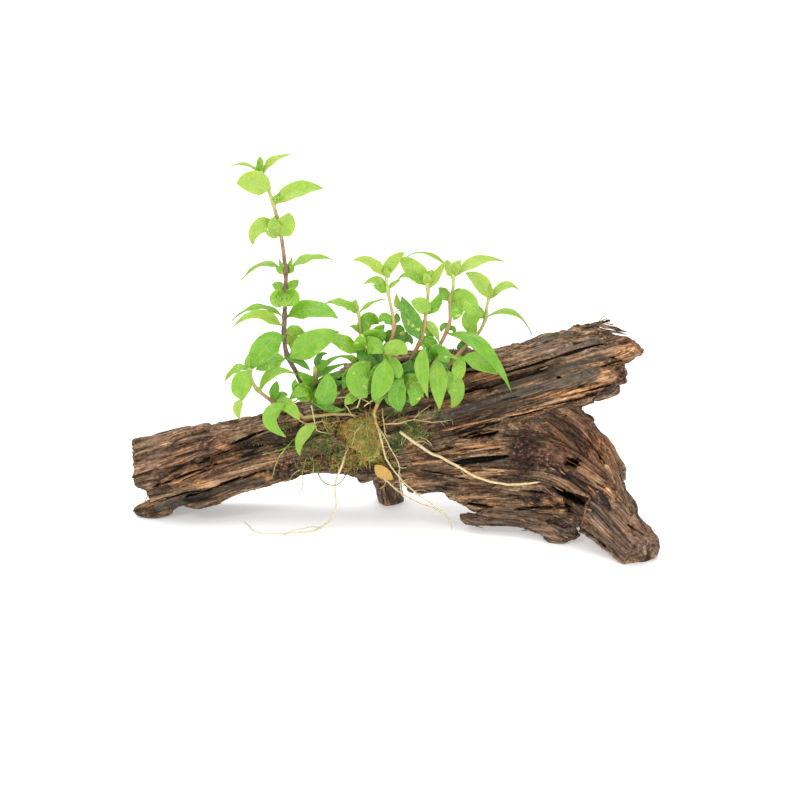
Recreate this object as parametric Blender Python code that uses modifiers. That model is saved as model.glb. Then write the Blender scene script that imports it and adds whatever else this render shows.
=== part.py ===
"""A staurogyne rooted on a forked piece of driftwood.

Places are written the way they are seen from the front: across and down in the front picture, in
its pixels, and back from the middle of the object in millimetres. seen() turns that into metres.
Thicknesses, widths and lengths are millimetres. +Z is up, +X is to the right, +Y goes away from
the front, and z = 0 is the surface that the three feet of the driftwood stand on.
"""

import math
import random

import bmesh
import bpy
from mathutils import Matrix, Vector
from mathutils.bvhtree import BVHTree

MM = 0.001
OVERALL_WIDTH = 238.0 * MM
WOOD_WIDTH_SEEN = 529.0
PICTURE_MIDDLE = 400.0
VIEW_DISTANCE = 1500.0 * MM
VIEW_TILT = math.radians(17.0)
AIM = Vector((3.96, 0.4, 62.2)) * MM

PIXEL = OVERALL_WIDTH / WOOD_WIDTH_SEEN
AHEAD = Vector((0.0, math.cos(VIEW_TILT), -math.sin(VIEW_TILT)))
UPWARD = Vector((0.0, math.sin(VIEW_TILT), math.cos(VIEW_TILT)))
ACROSS = Vector((1.0, 0.0, 0.0))
EYE = AIM - AHEAD * VIEW_DISTANCE

GAP = 0.3 * MM


def seen(across, down, back):
    """The point at that pixel of the front picture that lies that many millimetres back."""
    ray = (
        AHEAD
        + ACROSS * ((across - PICTURE_MIDDLE) * PIXEL / VIEW_DISTANCE)
        - UPWARD * ((down - PICTURE_MIDDLE) * PIXEL / VIEW_DISTANCE)
    )
    return EYE + ray * ((back * MM + AIM.y - EYE.y) / ray.y)


def clear_scene():
    for old in list(bpy.data.objects):
        bpy.data.objects.remove(old, do_unlink=True)


def collection(name):
    made = bpy.data.collections.new(name)
    bpy.context.scene.collection.children.link(made)
    return made


clear_scene()
PLANT_ON_WOOD = collection("staurogyne_on_driftwood")
CUTTERS = collection("cutters")


def material(name, colour, roughness):
    made = bpy.data.materials.new(name)
    made.use_nodes = True
    shader = made.node_tree.nodes["Principled BSDF"]
    shader.inputs["Base Color"].default_value = (*colour, 1.0)
    shader.inputs["Roughness"].default_value = roughness
    shader.inputs["Metallic"].default_value = 0.0
    return made


WOOD = material("wet_driftwood", (0.105, 0.056, 0.034), 0.62)
LEAF = material("leaf_green", (0.235, 0.52, 0.045), 0.38)
STEM = material("stem_tan", (0.36, 0.22, 0.075), 0.50)
ROOT = material("root_cream", (0.72, 0.52, 0.22), 0.55)
MOSS = material("moss_green", (0.052, 0.085, 0.018), 0.85)


def new_object(name, mesh, look, where=PLANT_ON_WOOD):
    made = bpy.data.objects.new(name, mesh)
    where.objects.link(made)
    if look:
        made.data.materials.append(look)
    return made


def mesh_from(name, build):
    """A mesh that the function build fills, with its faces pointing out."""
    bm = bmesh.new()
    build(bm)
    bmesh.ops.recalc_face_normals(bm, faces=bm.faces)
    mesh = bpy.data.meshes.new(name)
    bm.to_mesh(mesh)
    bm.free()
    return mesh


def applied(obj):
    """The object with its modifiers applied, so that it can be cut or joined again."""
    graph = bpy.context.evaluated_depsgraph_get()
    mesh = bpy.data.meshes.new_from_object(obj.evaluated_get(graph))
    obj.modifiers.clear()
    obj.data = mesh
    return obj


def boolean(obj, other, operation):
    step = obj.modifiers.new(operation.lower(), "BOOLEAN")
    step.operation = operation
    step.solver = "EXACT"
    step.object = other
    return applied(obj)


def discard(obj):
    bpy.data.objects.remove(obj, do_unlink=True)


def skin(bm, rings, tip=None):
    """Faces between rings of equally many points, closed at the start and at the end or tip."""
    loops = [[bm.verts.new(point) for point in ring] for ring in rings]
    count = len(loops[0])
    for near, far in zip(loops, loops[1:]):
        for i in range(count):
            j = (i + 1) % count
            bm.faces.new((near[i], near[j], far[j], far[i]))
    bm.faces.new(loops[0])
    if tip is None:
        bm.faces.new(loops[-1])
        return
    point = bm.verts.new(tip)
    for i in range(count):
        bm.faces.new((loops[-1][i], loops[-1][(i + 1) % count], point))


# Driftwood

STRAND_SIDES = 8
RIDGE_DEPTH = 0.16
STATION_WOBBLE = 0.07
END_RAGGED = 2.2 * MM

# Each strand of grain: its places along the wood, then its half height and its half depth there.
TRUNK_STRANDS = [
    ([(157, 471, 24), (230, 455, 24), (300, 441, 22), (380, 425, 20), (450, 408, 20), (520, 385, 20),
     (596, 362, 19)],
     [13, 15, 15, 17, 18, 15, 12], [12, 14, 15, 16, 16, 15, 11]),
    ([(141, 465, 14), (165, 458, 13), (205, 442, 13), (250, 429, 14), (300, 420, 15)],
     [11.5, 11, 9, 7, 6], [8, 9, 8, 7, 6]),
    ([(143, 460, 30), (170, 452, 31), (230, 436, 31), (300, 424, 30), (350, 408, 28)],
     [9, 10, 10, 10, 9], [8, 9, 9, 9, 8]),
    ([(158, 482, 9), (170, 478, 6), (190, 471, 5.5), (213, 464, 7)], [2, 3.5, 3.5, 2.5], [3, 4, 4, 3]),
    ([(152, 493, 13), (200, 480, 12), (250, 464, 12), (300, 452, 12), (345, 440, 10)],
     [5, 5.5, 6, 6, 6], [7, 7, 7, 7, 7]),
    ([(134, 511, 19), (150, 509, 21), (200, 494, 20), (250, 478, 19), (300, 462, 18), (350, 455, 17)],
     [1.6, 5, 5.5, 6, 7, 8], [2.5, 7, 9, 10, 11, 12]),
    ([(189, 508, 14), (230, 495, 15), (268, 481, 16), (300, 470, 18)], [1.7, 1.8, 2, 3], [3, 3, 3, 3]),
    ([(160, 500, 33), (230, 480, 34), (300, 462, 32), (360, 455, 30)], [5, 7, 7, 7], [5, 7, 7, 7]),
    ([(262, 458, 12), (285, 464, 11), (312, 456, 12)], [6, 8, 7], [5, 6, 6]),
    ([(255, 490, 14), (274, 478, 15)], [0.7, 1.4], [1.2, 1.6]),
    ([(320, 392, 22), (365, 386, 22), (420, 374, 22), (470, 366, 20)],
     [5, 7, 8, 8], [8, 10, 11, 10]),
    ([(300, 455, 20), (350, 452, 18), (400, 455, 16), (450, 460, 12)], [9, 11, 13, 14], [12, 14, 14, 12]),
]
LIMB_STRANDS = [
    ([(328, 377, 20), (350, 374, 18), (400, 366, 17), (450, 363, 16), (500, 361, 15), (550, 350, 15),
     (598, 335, 16)],
     [1.2, 4, 6, 6, 5, 5, 4], [4, 8, 10, 10, 9, 9, 7]),
    ([(570, 334, 15), (600, 333, 14), (628, 335, 13)], [2.5, 1.8, 0.8], [4, 3, 1.5]),
    ([(575, 330, 19), (598, 324, 20), (611, 319, 20)], [3, 2, 0.7], [4, 3, 1]),
    ([(585, 336, 21), (605, 338, 20), (622, 342, 19)], [3, 1.6, 0.8], [3, 2.5, 1.2]),
    ([(430, 386, 11), (480, 374, 8), (530, 361, 7), (580, 350, 8), (606, 346, 10)],
     [4, 4.6, 4.6, 4.4, 3.4], [5, 5, 5, 5, 4]),
    ([(440, 412, 8), (480, 402, 5), (530, 389, 3.5), (580, 374, 5), (612, 367, 8)],
     [6, 6.4, 6.4, 5.6, 4], [6, 6, 6, 6, 5]),
    ([(450, 430, 8), (500, 418, 4), (560, 401, 4), (613, 388, 8)], [3.4, 3.6, 3.8, 3], [5, 5.5, 6, 5]),
    ([(590, 354, 13), (615, 350, 12), (632, 350, 12), (643, 352, 13)], [5, 5.6, 5, 1.4], [6, 7, 6, 1.6]),
    ([(590, 374, 11), (612, 374, 10), (625, 373, 11)], [5, 5, 4.4], [6, 7, 5]),
    ([(590, 390, 15), (608, 389, 14), (616, 388, 15)], [4, 4, 3], [6, 6, 4]),
    ([(395, 394, 33), (470, 380, 33), (540, 363, 32), (604, 353, 29)], [11, 12, 11, 8], [8, 9, 9, 7]),
    ([(395, 420, 32), (480, 400, 32), (560, 382, 31), (606, 372, 27)], [10, 11, 10, 7], [8, 9, 9, 7]),
]
LEG_STRANDS = [
    ([(430, 440, 8), (490, 445, 2), (550, 452, -8), (602, 491, -24), (649, 543, -42)],
     [8, 8, 9, 9, 7.5], [8, 8, 9, 8, 6]),
    ([(420, 465, 10), (480, 470, 2), (540, 476, -8), (590, 505, -24), (637, 552, -45)],
     [9, 9, 8, 8, 9], [9, 9, 9, 8, 7]),
    ([(553, 414, 8), (584, 439, 1), (607, 473, -9), (617, 507, -24), (649, 542, -40)],
     [6, 7, 8, 7, 5], [8, 9, 9, 8, 6]),
    ([(500, 430, 6), (550, 431, -2), (588, 461, -10), (616, 510, -26)], [8, 9, 9, 6], [9, 9, 9, 7]),
    ([(411, 486, 14), (440, 482, 9), (470, 488, 3), (510, 490, -3), (560, 492, -12), (604, 532, -32),
     (632, 553, -44)],
     [3, 4, 5, 6, 6, 5.5, 4], [5, 6, 7, 8, 7, 6, 5]),
    ([(460, 440, 22), (520, 442, 16), (577, 467, 4), (616, 511, -16), (643, 544, -35)],
     [10, 11, 11, 8, 5], [8, 9, 9, 7, 5]),
]
PRONG_STRANDS = [
    ([(463, 514, 1), (485, 516, -3), (520, 518, -7), (552, 528, -13), (575, 531, -17)],
     [3.4, 4.2, 4.2, 4.6, 2.4], [4, 5, 5, 5.5, 3]),
    ([(478, 512, 0), (500, 506, -3), (530, 505, -8), (560, 514, -14), (577, 521, -18)],
     [3, 4, 4.5, 4.5, 2.5], [4, 5, 5, 4, 2.5]),
    ([(545, 536, -14), (566, 535, -18)], [2.4, 2.2], [3, 3]),
]
FOOT_STRANDS = [
    ([(386, 455, 22), (386, 476, 31), (387, 488, 38), (391, 502, 45)], [6.5, 6.6, 6.4, 6.0], [6, 7, 7, 7]),
]


def strand(number, course, heights, depths):
    """One strand of grain: a loft with ridges along it and ragged ends."""
    rng = random.Random(number)
    centres = [seen(*place) for place in course]
    ridges = [1.0 + RIDGE_DEPTH * rng.uniform(-1.0, 1.0) for _ in range(STRAND_SIDES)]
    rings = []
    for i, centre in enumerate(centres):
        ahead = centres[min(i + 1, len(centres) - 1)] - centres[max(i - 1, 0)]
        along = ahead.normalized()
        tall = AHEAD.cross(along).normalized()
        deep = along.cross(tall).normalized()
        ring = []
        for k in range(STRAND_SIDES):
            turn = 2.0 * math.pi * (k + 0.5) / STRAND_SIDES
            swell = ridges[k] * (1.0 + STATION_WOBBLE * rng.uniform(-1.0, 1.0))
            point = centre + tall * (heights[i] * MM * swell * math.cos(turn))
            point += deep * (depths[i] * MM * swell * math.sin(turn))
            if i in (0, len(centres) - 1):
                point += along * (END_RAGGED * rng.uniform(-1.0, 1.0))
            ring.append(point)
        rings.append(ring)
    return new_object(f"strand_{number}", mesh_from("strand", lambda bm: skin(bm, rings)), None, CUTTERS)


VOXEL = 1.1 * MM
WOOD_FACES_KEPT = 0.026


def joined(pieces):
    """One object that holds the meshes of all the pieces."""
    bm = bmesh.new()
    for piece in pieces:
        bm.from_mesh(piece.data)
        discard(piece)
    mesh = bpy.data.meshes.new("joined")
    bm.to_mesh(mesh)
    bm.free()
    return new_object("joined", mesh, None, CUTTERS)


def grown_together(strands):
    """All the strands as one closed solid, with the creases between them filled a little."""
    bundle = joined([strand(number, *row) for number, row in enumerate(strands, 1)])
    fuse = bundle.modifiers.new("fuse", "REMESH")
    fuse.mode = "VOXEL"
    fuse.voxel_size = VOXEL
    fewer = bundle.modifiers.new("fewer", "DECIMATE")
    fewer.ratio = WOOD_FACES_KEPT
    return applied(bundle)


def block(start, end, reach_up, reach_down, thick, more=0.0):
    """A box on the line from start to end, both seen from the front, reaching up and down from it."""
    first, last = seen(*start), seen(*end)
    along = (last - first).normalized()
    up = AHEAD.cross(along).normalized()
    if up.z < 0:
        up = -up
    back = along.cross(up).normalized()
    centre = (first + last) / 2 + up * ((reach_up - reach_down) * MM / 2)
    turn = Matrix((along, up, back)).transposed().to_4x4()
    sides = ((last - first).length, (reach_up + reach_down) * MM, thick * MM)
    size = Matrix.Diagonal((*(side + 2.0 * more for side in sides), 1.0))

    def build(bm):
        bmesh.ops.create_cube(bm, size=1.0, matrix=Matrix.Translation(centre) @ turn @ size)

    return new_object("block", mesh_from("block", build), None, CUTTERS)


def keep_largest(obj):
    """Drops the loose chips that a cut leaves."""
    bm = bmesh.new()
    bm.from_mesh(obj.data)
    left, bodies = set(bm.verts), []
    while left:
        start = left.pop()
        body, edge = {start}, [start]
        while edge:
            vert = edge.pop()
            near = {e.other_vert(vert) for e in vert.link_edges} & left
            left -= near
            body |= near
            edge.extend(near)
        bodies.append(body)
    bodies.sort(key=len)
    chips = [vert for body in bodies[:-1] for vert in body]
    bmesh.ops.delete(bm, geom=chips, context="VERTS")
    bm.to_mesh(obj.data)
    bm.free()
    return obj


def taken_from(whole, name, inside, outside=()):
    """The part of the whole that lies inside one block and outside the others."""
    made = new_object(name, whole.data.copy(), None)
    boolean(made, inside, "INTERSECT")
    for other in outside:
        boolean(made, other, "DIFFERENCE")
    keep_largest(made)
    made.data.materials.clear()
    made.data.materials.append(WOOD)
    return made


# Hollows in the wood: a line seen from the front, how far each reaches up and down, and how thick.
HOLLOWS = [
    ((559, 499, -28), (584, 507, -34), 5.0, 5.5, 30.0),
    ((565, 461, -18), (580, 466, -20), 2.4, 2.4, 24.0),
    ((512, 510, -16), (572, 507, -26), 0.8, 0.8, 20.0),
    ((229, 446, 2), (263, 432, 2), 1.5, 1.0, 10.0),
    ((186, 501, 6), (266, 472, 6), 1.3, 0.6, 10.0),
    ((575, 342, 2), (640, 334, 2), 1.3, 0.3, 8.0),
]


def floor_block():
    """Everything above the floor."""

    def build(bm):
        bmesh.ops.create_cube(bm, size=1.0, matrix=Matrix.Translation((0.0, 0.0, 0.5)))

    return new_object("floor_block", mesh_from("floor_block", build), None, CUTTERS)


whole_wood = grown_together(TRUNK_STRANDS + LIMB_STRANDS + LEG_STRANDS + PRONG_STRANDS + FOOT_STRANDS)
keep_largest(whole_wood)
for hollow in HOLLOWS:
    boolean(whole_wood, block(*hollow), "DIFFERENCE")
boolean(whole_wood, floor_block(), "INTERSECT")
keep_largest(whole_wood)

# Where the driftwood forks, each fork being a line seen from the front with wood on its upper side.
WIDE = 150.0
DEEP = 300.0
HALF = GAP / 2.0
LEFT_OF_FORK = block((340, 560, 10), (352, 300, 10), WIDE, 0.0, DEEP, -HALF)
RIGHT_OF_FORK = block((340, 560, 10), (352, 300, 10), 0.0, WIDE, DEEP, -HALF)
ABOVE_SEAM = block((300, 498, 10), (680, 372, 10), WIDE, 0.0, DEEP, -HALF)
BELOW_SEAM = block((300, 498, 10), (680, 372, 10), 0.0, WIDE, DEEP, -HALF)
PRONG_SPACE = block((455, 497, -10), (583, 511, -10), 0.0, 18.0, 70.0, -HALF)
NOT_PRONG = block((455, 497, -10), (583, 511, -10), 0.0, 18.0, 70.0, HALF)
STUB_SPACE = block((358, 481, 31), (404, 481, 31), 0.0, 30.0, 60.0, -HALF)
NOT_STUB = block((358, 481, 31), (404, 481, 31), 0.0, 30.0, 60.0, HALF)

left_limb = taken_from(whole_wood, "driftwood_left_limb", LEFT_OF_FORK)
right_wood = taken_from(whole_wood, "right_wood", RIGHT_OF_FORK)
right_limb = taken_from(right_wood, "driftwood_right_limb", ABOVE_SEAM, [NOT_STUB])
right_leg = taken_from(right_wood, "driftwood_right_leg", BELOW_SEAM, [NOT_PRONG, NOT_STUB])
prong = taken_from(right_wood, "driftwood_leg_prong", PRONG_SPACE)
stub = taken_from(right_wood, "driftwood_back_foot", STUB_SPACE)
discard(right_wood)
WOOD_PIECES = [left_limb, right_limb, right_leg, prong, stub]

SPLINTER = ([(189, 508, 9), (215, 501, 9), (240, 493, 10), (264, 484, 12)], [1.4, 1.7, 1.6, 1.0],
[2.4, 3, 3, 2.4])
SPLINTER_NUMBER = 90
SPLINTER_ROOM = 0.4
splinter = strand(SPLINTER_NUMBER, *SPLINTER)
ROOM_COURSE = [*SPLINTER[0][:-1], (270, 482, 12.4)]
room = strand(
    SPLINTER_NUMBER, ROOM_COURSE, [h + SPLINTER_ROOM for h in SPLINTER[1]],
    [d + SPLINTER_ROOM for d in SPLINTER[2]]
)
boolean(left_limb, room, "DIFFERENCE")
keep_largest(left_limb)
splinter.name = "driftwood_under_splinter"
splinter.data.materials.append(WOOD)
CUTTERS.objects.unlink(splinter)
PLANT_ON_WOOD.objects.link(splinter)


# Moss

MOSS_CENTRE = (361, 438, 5)
MOSS_REACH = (10.5, 7.0, 9.5)
MOSS_UNEVEN = 0.12
MOSS_SEED = 5


def moss_lump():
    rng = random.Random(MOSS_SEED)

    def build(bm):
        bmesh.ops.create_icosphere(bm, subdivisions=2, radius=1.0)
        for vert in bm.verts:
            swell = 1.0 + MOSS_UNEVEN * rng.uniform(-1.0, 1.0)
            vert.co = Vector(c * reach * swell * MM for c, reach in zip(vert.co, MOSS_REACH))
            vert.co += seen(*MOSS_CENTRE)

    return new_object("moss_clump", mesh_from("moss", build), MOSS)


moss = moss_lump()
boolean(moss, whole_wood, "DIFFERENCE")
keep_largest(moss)
moss.data.transform(Matrix.Translation((0.0, -GAP, 0.0)))
moss.data.materials.clear()
moss.data.materials.append(MOSS)


# What lies on the wood is laid there by looking for the wood behind each of its points.

def tree_of(pieces):
    bm = bmesh.new()
    for piece in pieces:
        bm.from_mesh(piece.data)
    tree = BVHTree.FromBMesh(bm)
    bm.free()
    return tree


GROUND = tree_of(WOOD_PIECES + [splinter, moss])
LIE_CLEAR = 0.6
CAP_MERGE = 0.01 * MM
LAID_STEPS = 3
FLOOR_CLEAR = 0.2 * MM
STRETCHES = 60


def laid(course, radius):
    """A root's points: at their depth, on the floor, or stretched over the wood behind them."""
    points, free = [], []
    for across, down, back in course:
        ahead = (seen(across, down, 0) - EYE).normalized()
        if back == "floor":
            hit = EYE - ahead * ((EYE.z - radius * MM - FLOOR_CLEAR) / ahead.z)
        elif back is None:
            hit = GROUND.ray_cast(EYE, ahead)[0] - ahead * ((radius + LIE_CLEAR) * MM)
        else:
            hit = seen(across, down, back)
        points.append([ahead, (hit - EYE).length])
        free.append(back is None)
    for _ in range(STRETCHES):
        for i in range(1, len(points) - 1):
            if free[i]:
                straight = (points[i - 1][1] + points[i + 1][1]) / 2
                points[i][1] = min(points[i][1], straight)
    return [EYE + ahead * far for ahead, far in points]


def between(course, steps):
    """More places on the straight lines between the given ones, where both ends lie on the wood."""
    made = [course[0]]
    for near, far in zip(course, course[1:]):
        if near[2] is None and far[2] is None:
            for k in range(1, steps):
                share = k / steps
                across = near[0] + (far[0] - near[0]) * share
                down = near[1] + (far[1] - near[1]) * share
                made.append((across, down, None))
        made.append(far)
    return made


def tube(name, points, thick, thin, look, sides=1):
    """A round stem or root through the points, thick at its first point and thin at its last."""
    curve = bpy.data.curves.new(name, "CURVE")
    curve.dimensions = "3D"
    curve.bevel_depth = MM
    curve.bevel_resolution = sides
    curve.use_fill_caps = True
    line = curve.splines.new("POLY")
    line.points.add(len(points) - 1)
    for i, point in enumerate(points):
        line.points[i].co = (*point, 1.0)
        line.points[i].radius = thick + (thin - thick) * i / (len(points) - 1)
    bent = bpy.data.objects.new(name, curve)
    PLANT_ON_WOOD.objects.link(bent)
    mesh = bpy.data.meshes.new_from_object(bent.evaluated_get(bpy.context.evaluated_depsgraph_get()))
    discard(bent)
    bm = bmesh.new()
    bm.from_mesh(mesh)
    bmesh.ops.remove_doubles(bm, verts=bm.verts, dist=CAP_MERGE)
    bmesh.ops.recalc_face_normals(bm, faces=bm.faces)
    bm.to_mesh(mesh)
    bm.free()
    mesh.materials.clear()
    return new_object(name, mesh, look)


# Leaves: each is a lens with its edges raised, along a bow from its base over its middle to its tip.

LEAF_PROFILE = [(0.0, 0.10), (0.14, 0.26), (0.34, 0.84), (0.55, 1.0), (0.76, 0.74), (0.91, 0.34)]
LEAF_THICK = 0.55
KEEL = 0.16


def leaf_rings(base, middle, tip, width, roll):
    """The rings round a leaf and its tip. Roll turns its upper face from the sky towards the front."""
    base, middle, tip = seen(*base), seen(*middle), seen(*tip)
    bow = middle * 2 - (base + tip) / 2
    deep = Vector((0.0, 1.0, 0.0))
    sign = 1.0 if deep.cross(tip - base).z >= 0 else -1.0
    rings = []
    for share, wide in LEAF_PROFILE:
        point = base * (1 - share) ** 2 + bow * (2 * share * (1 - share)) + tip * share**2
        along = ((bow - base) * (1 - share) + (tip - bow) * share).normalized()
        out = (deep - along * deep.dot(along)).normalized()
        up = out.cross(along).normalized() * sign
        face = up * math.cos(math.radians(roll)) - out * math.sin(math.radians(roll))
        side = along.cross(face).normalized()
        half = width * MM / 2 * wide
        thick = LEAF_THICK * MM / 2
        lift = face * (half * KEEL)
        left, right = point + side * half + lift, point - side * half + lift
        rings.append((left, point + face * thick, right, point - face * thick))
    return rings, tip


def leaf(name, base, middle, tip, width, roll):
    rings, end = leaf_rings(base, middle, tip, width, roll)
    return new_object(name, mesh_from(name, lambda bm: skin(bm, rings, end)), LEAF)


# The stems: their courses from the top down, their thickness at the top and at the foot, and the
# small leaves that grow together with them.
STEMS = {
    "stem_tall": (
        [(260, 171, 3), (270, 194, 3), (275, 210, 3), (281, 235, 3), (285.5, 271, 3), (285.5, 290, 3),
         (284.5, 320, 3), (284, 336, 3), (287, 355, 4), (296, 372, 6), (302, 385, 9), (305, 395, 11)],
        0.8, 1.1,
        [((260, 172, 3), (260, 164, 3), (261, 157, 3), 3, 60), ((259, 172, 3), (245, 164, 2),
         (231.5, 167, 2), 5, 12),
         ((262, 173, 3), (277, 163, 3), (291, 155, 4), 5, 32), ((280, 234, 3), (287, 227, 6),
         (293.5, 220, 8), 6.5, 60),
         ((281, 235, 3), (273, 231, 0), (266, 233, -2), 5, 60), ((268, 189, 3), (277, 182, 6),
         (284, 183, 9), 5, 50),
         ((285.5, 288, 3), (277, 282, 9), (270, 283, 13), 6, 45), ((285.5, 288, 3), (293, 282, 9),
         (299, 284, 12), 6, 45),
         ((285.5, 291, 3), (285, 297, -6), (284, 307, -12), 11, 50), ((287, 356, 3), (298, 363, 5),
         (309, 369, 5), 5, 20)],
    ),
    "stem_lower_left": (
        [(249, 367, -6), (251, 377, -6), (256, 388, -6), (265, 396, -4), (274, 402, 1), (285, 405, 8)],
        0.7, 0.9,
        [((249.5, 370, -6), (248, 361, -6), (251, 353, -5), 3, 60), ((250, 371, -6), (236, 373, -5),
         (225, 381, -5), 6, 30),
         ((254, 386, -6), (244, 402, -5), (239, 420, -6), 5, 75), ((273, 401, 0), (277, 391, 1),
         (277, 381, 1), 5, 70)],
    ),
    "stem_brown": (
        [(316, 366, 7), (315, 377, 8), (314, 387, 9), (313, 396, 11)],
        1.0, 1.35,
        [((316, 370, 7), (323, 365, 6), (332, 361, 6), 5, 45), ((315, 380, 8), (328, 372, 9),
         (345, 365, 9), 5, 40),
         ((314, 388, 9), (302, 389, 3), (292, 384, 1), 7, 70), ((313, 391, 10), (322, 401, 3),
         (335, 411, 1), 7, 70),
         ((314, 388, 9), (331, 391, 5), (342, 402, 3), 6, 65)],
    ),
    "stem_short": (
        [(358, 310, 8), (361, 334, 8), (360.6, 347, 8), (357, 362, 8), (356, 379, 7)],
        0.65, 0.9,
        [((358, 314, 8), (356, 305, 8), (356, 296, 8), 4, 70), ((359, 313, 8), (373, 304, 8),
         (385.5, 299, 9), 5, 12),
         ((361, 333, 8), (356, 328, 7), (350, 326, 6), 3.5, 50), ((361, 335, 8), (369, 328, 10),
         (378, 324, 11), 5, 50),
         ((361, 346, 8), (366, 358, 4), (371, 368, 3), 6, 80)],
    ),
    "stem_d": (
        [(386, 276, -3), (388, 292, -3), (391, 307, -3), (394, 324, -3), (392, 338, -3), (386, 352, -2),
         (384, 366, 0), (382, 380, 4), (381, 390, 8)],
        0.7, 0.95,
        [((386, 286, -3), (375, 283, -4), (365, 285, -5), 4.5, 30), ((388, 290, -3), (394, 284, -2),
         (400, 279.5, -1), 4, 35),
         ((392, 319, -3), (385, 320, -4), (379, 323, -5), 3.5, 40), ((392, 342, -3), (399, 350, -7),
         (400, 361, -8), 7, 85),
         ((386, 356, -2), (393, 366, -5), (395, 378, -6), 5.5, 85), ((386, 278, -3), (386, 271, -4),
         (384, 265, -4), 3, 60)],
    ),
    "stem_e": (
        [(426, 274, 0), (428, 291, 0), (427.5, 301, 0), (426, 313, 0), (424.6, 323, 0), (422, 336, 0),
         (415, 352, 1), (405, 372, 4), (394, 390, 8)],
        0.7, 0.95,
        [((427, 287, 0), (412, 281, -1), (399, 279.5, -2), 5, 25), ((427, 276, 0), (431, 272, 1),
         (435, 270, 2), 3, 45),
         ((428, 289, 0), (437, 278, 1), (445, 267, 2), 5, 45), ((427, 311, 0), (419, 304, 0),
         (412, 299, 1), 5.5, 60),
         ((427, 311, 0), (435, 302, 1), (442, 292, 1), 4.5, 50), ((418, 347, 0), (409, 362, 0),
         (407, 381, -2), 6, 80)],
    ),
    "stem_f": (
        [(453, 268, 6), (453, 288, 6), (450, 304, 6), (450, 320, 6), (447.6, 329, 5), (440, 345, 3),
         (430, 362, 1), (418, 378, 3), (405, 391, 6)],
        0.7, 0.95,
        [((453, 275, 6), (455, 267, 6), (463, 259, 6), 4, 50), ((452.5, 276, 6), (447, 268, 6),
         (446, 259, 6), 3.5, 65),
         ((453, 275, 6), (430, 262, 5), (406.5, 257, 4), 5, 12), ((451, 301, 6), (444, 293, 8),
         (439, 287, 9), 5, 60),
         ((450, 325, 6), (444, 327, 5), (440, 332, 4), 4, 60), ((433, 357, 2), (440, 352, 0),
         (449, 358, -1), 6, 50),
         ((413, 383, 4), (415, 391, -1), (421, 398, -3), 7, 80)],
    ),
    "stem_g": (
        [(490, 295, 10), (487, 306, 10), (486, 317, 10), (481, 329, 9), (476, 336, 7), (467, 345, 3),
         (455, 358, 0), (440, 376, -1), (424, 389, 0), (414, 397, 2)],
        0.65, 0.95,
        [((485, 320, 10), (480, 312, 11), (479, 305, 11), 3.5, 65), ((489, 299, 10), (489, 291, 10),
         (491, 285, 10), 3, 60),
         ((456, 357, 0), (461, 368, -3), (459, 382, -4), 4.5, 75)],
    ),
}

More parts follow.
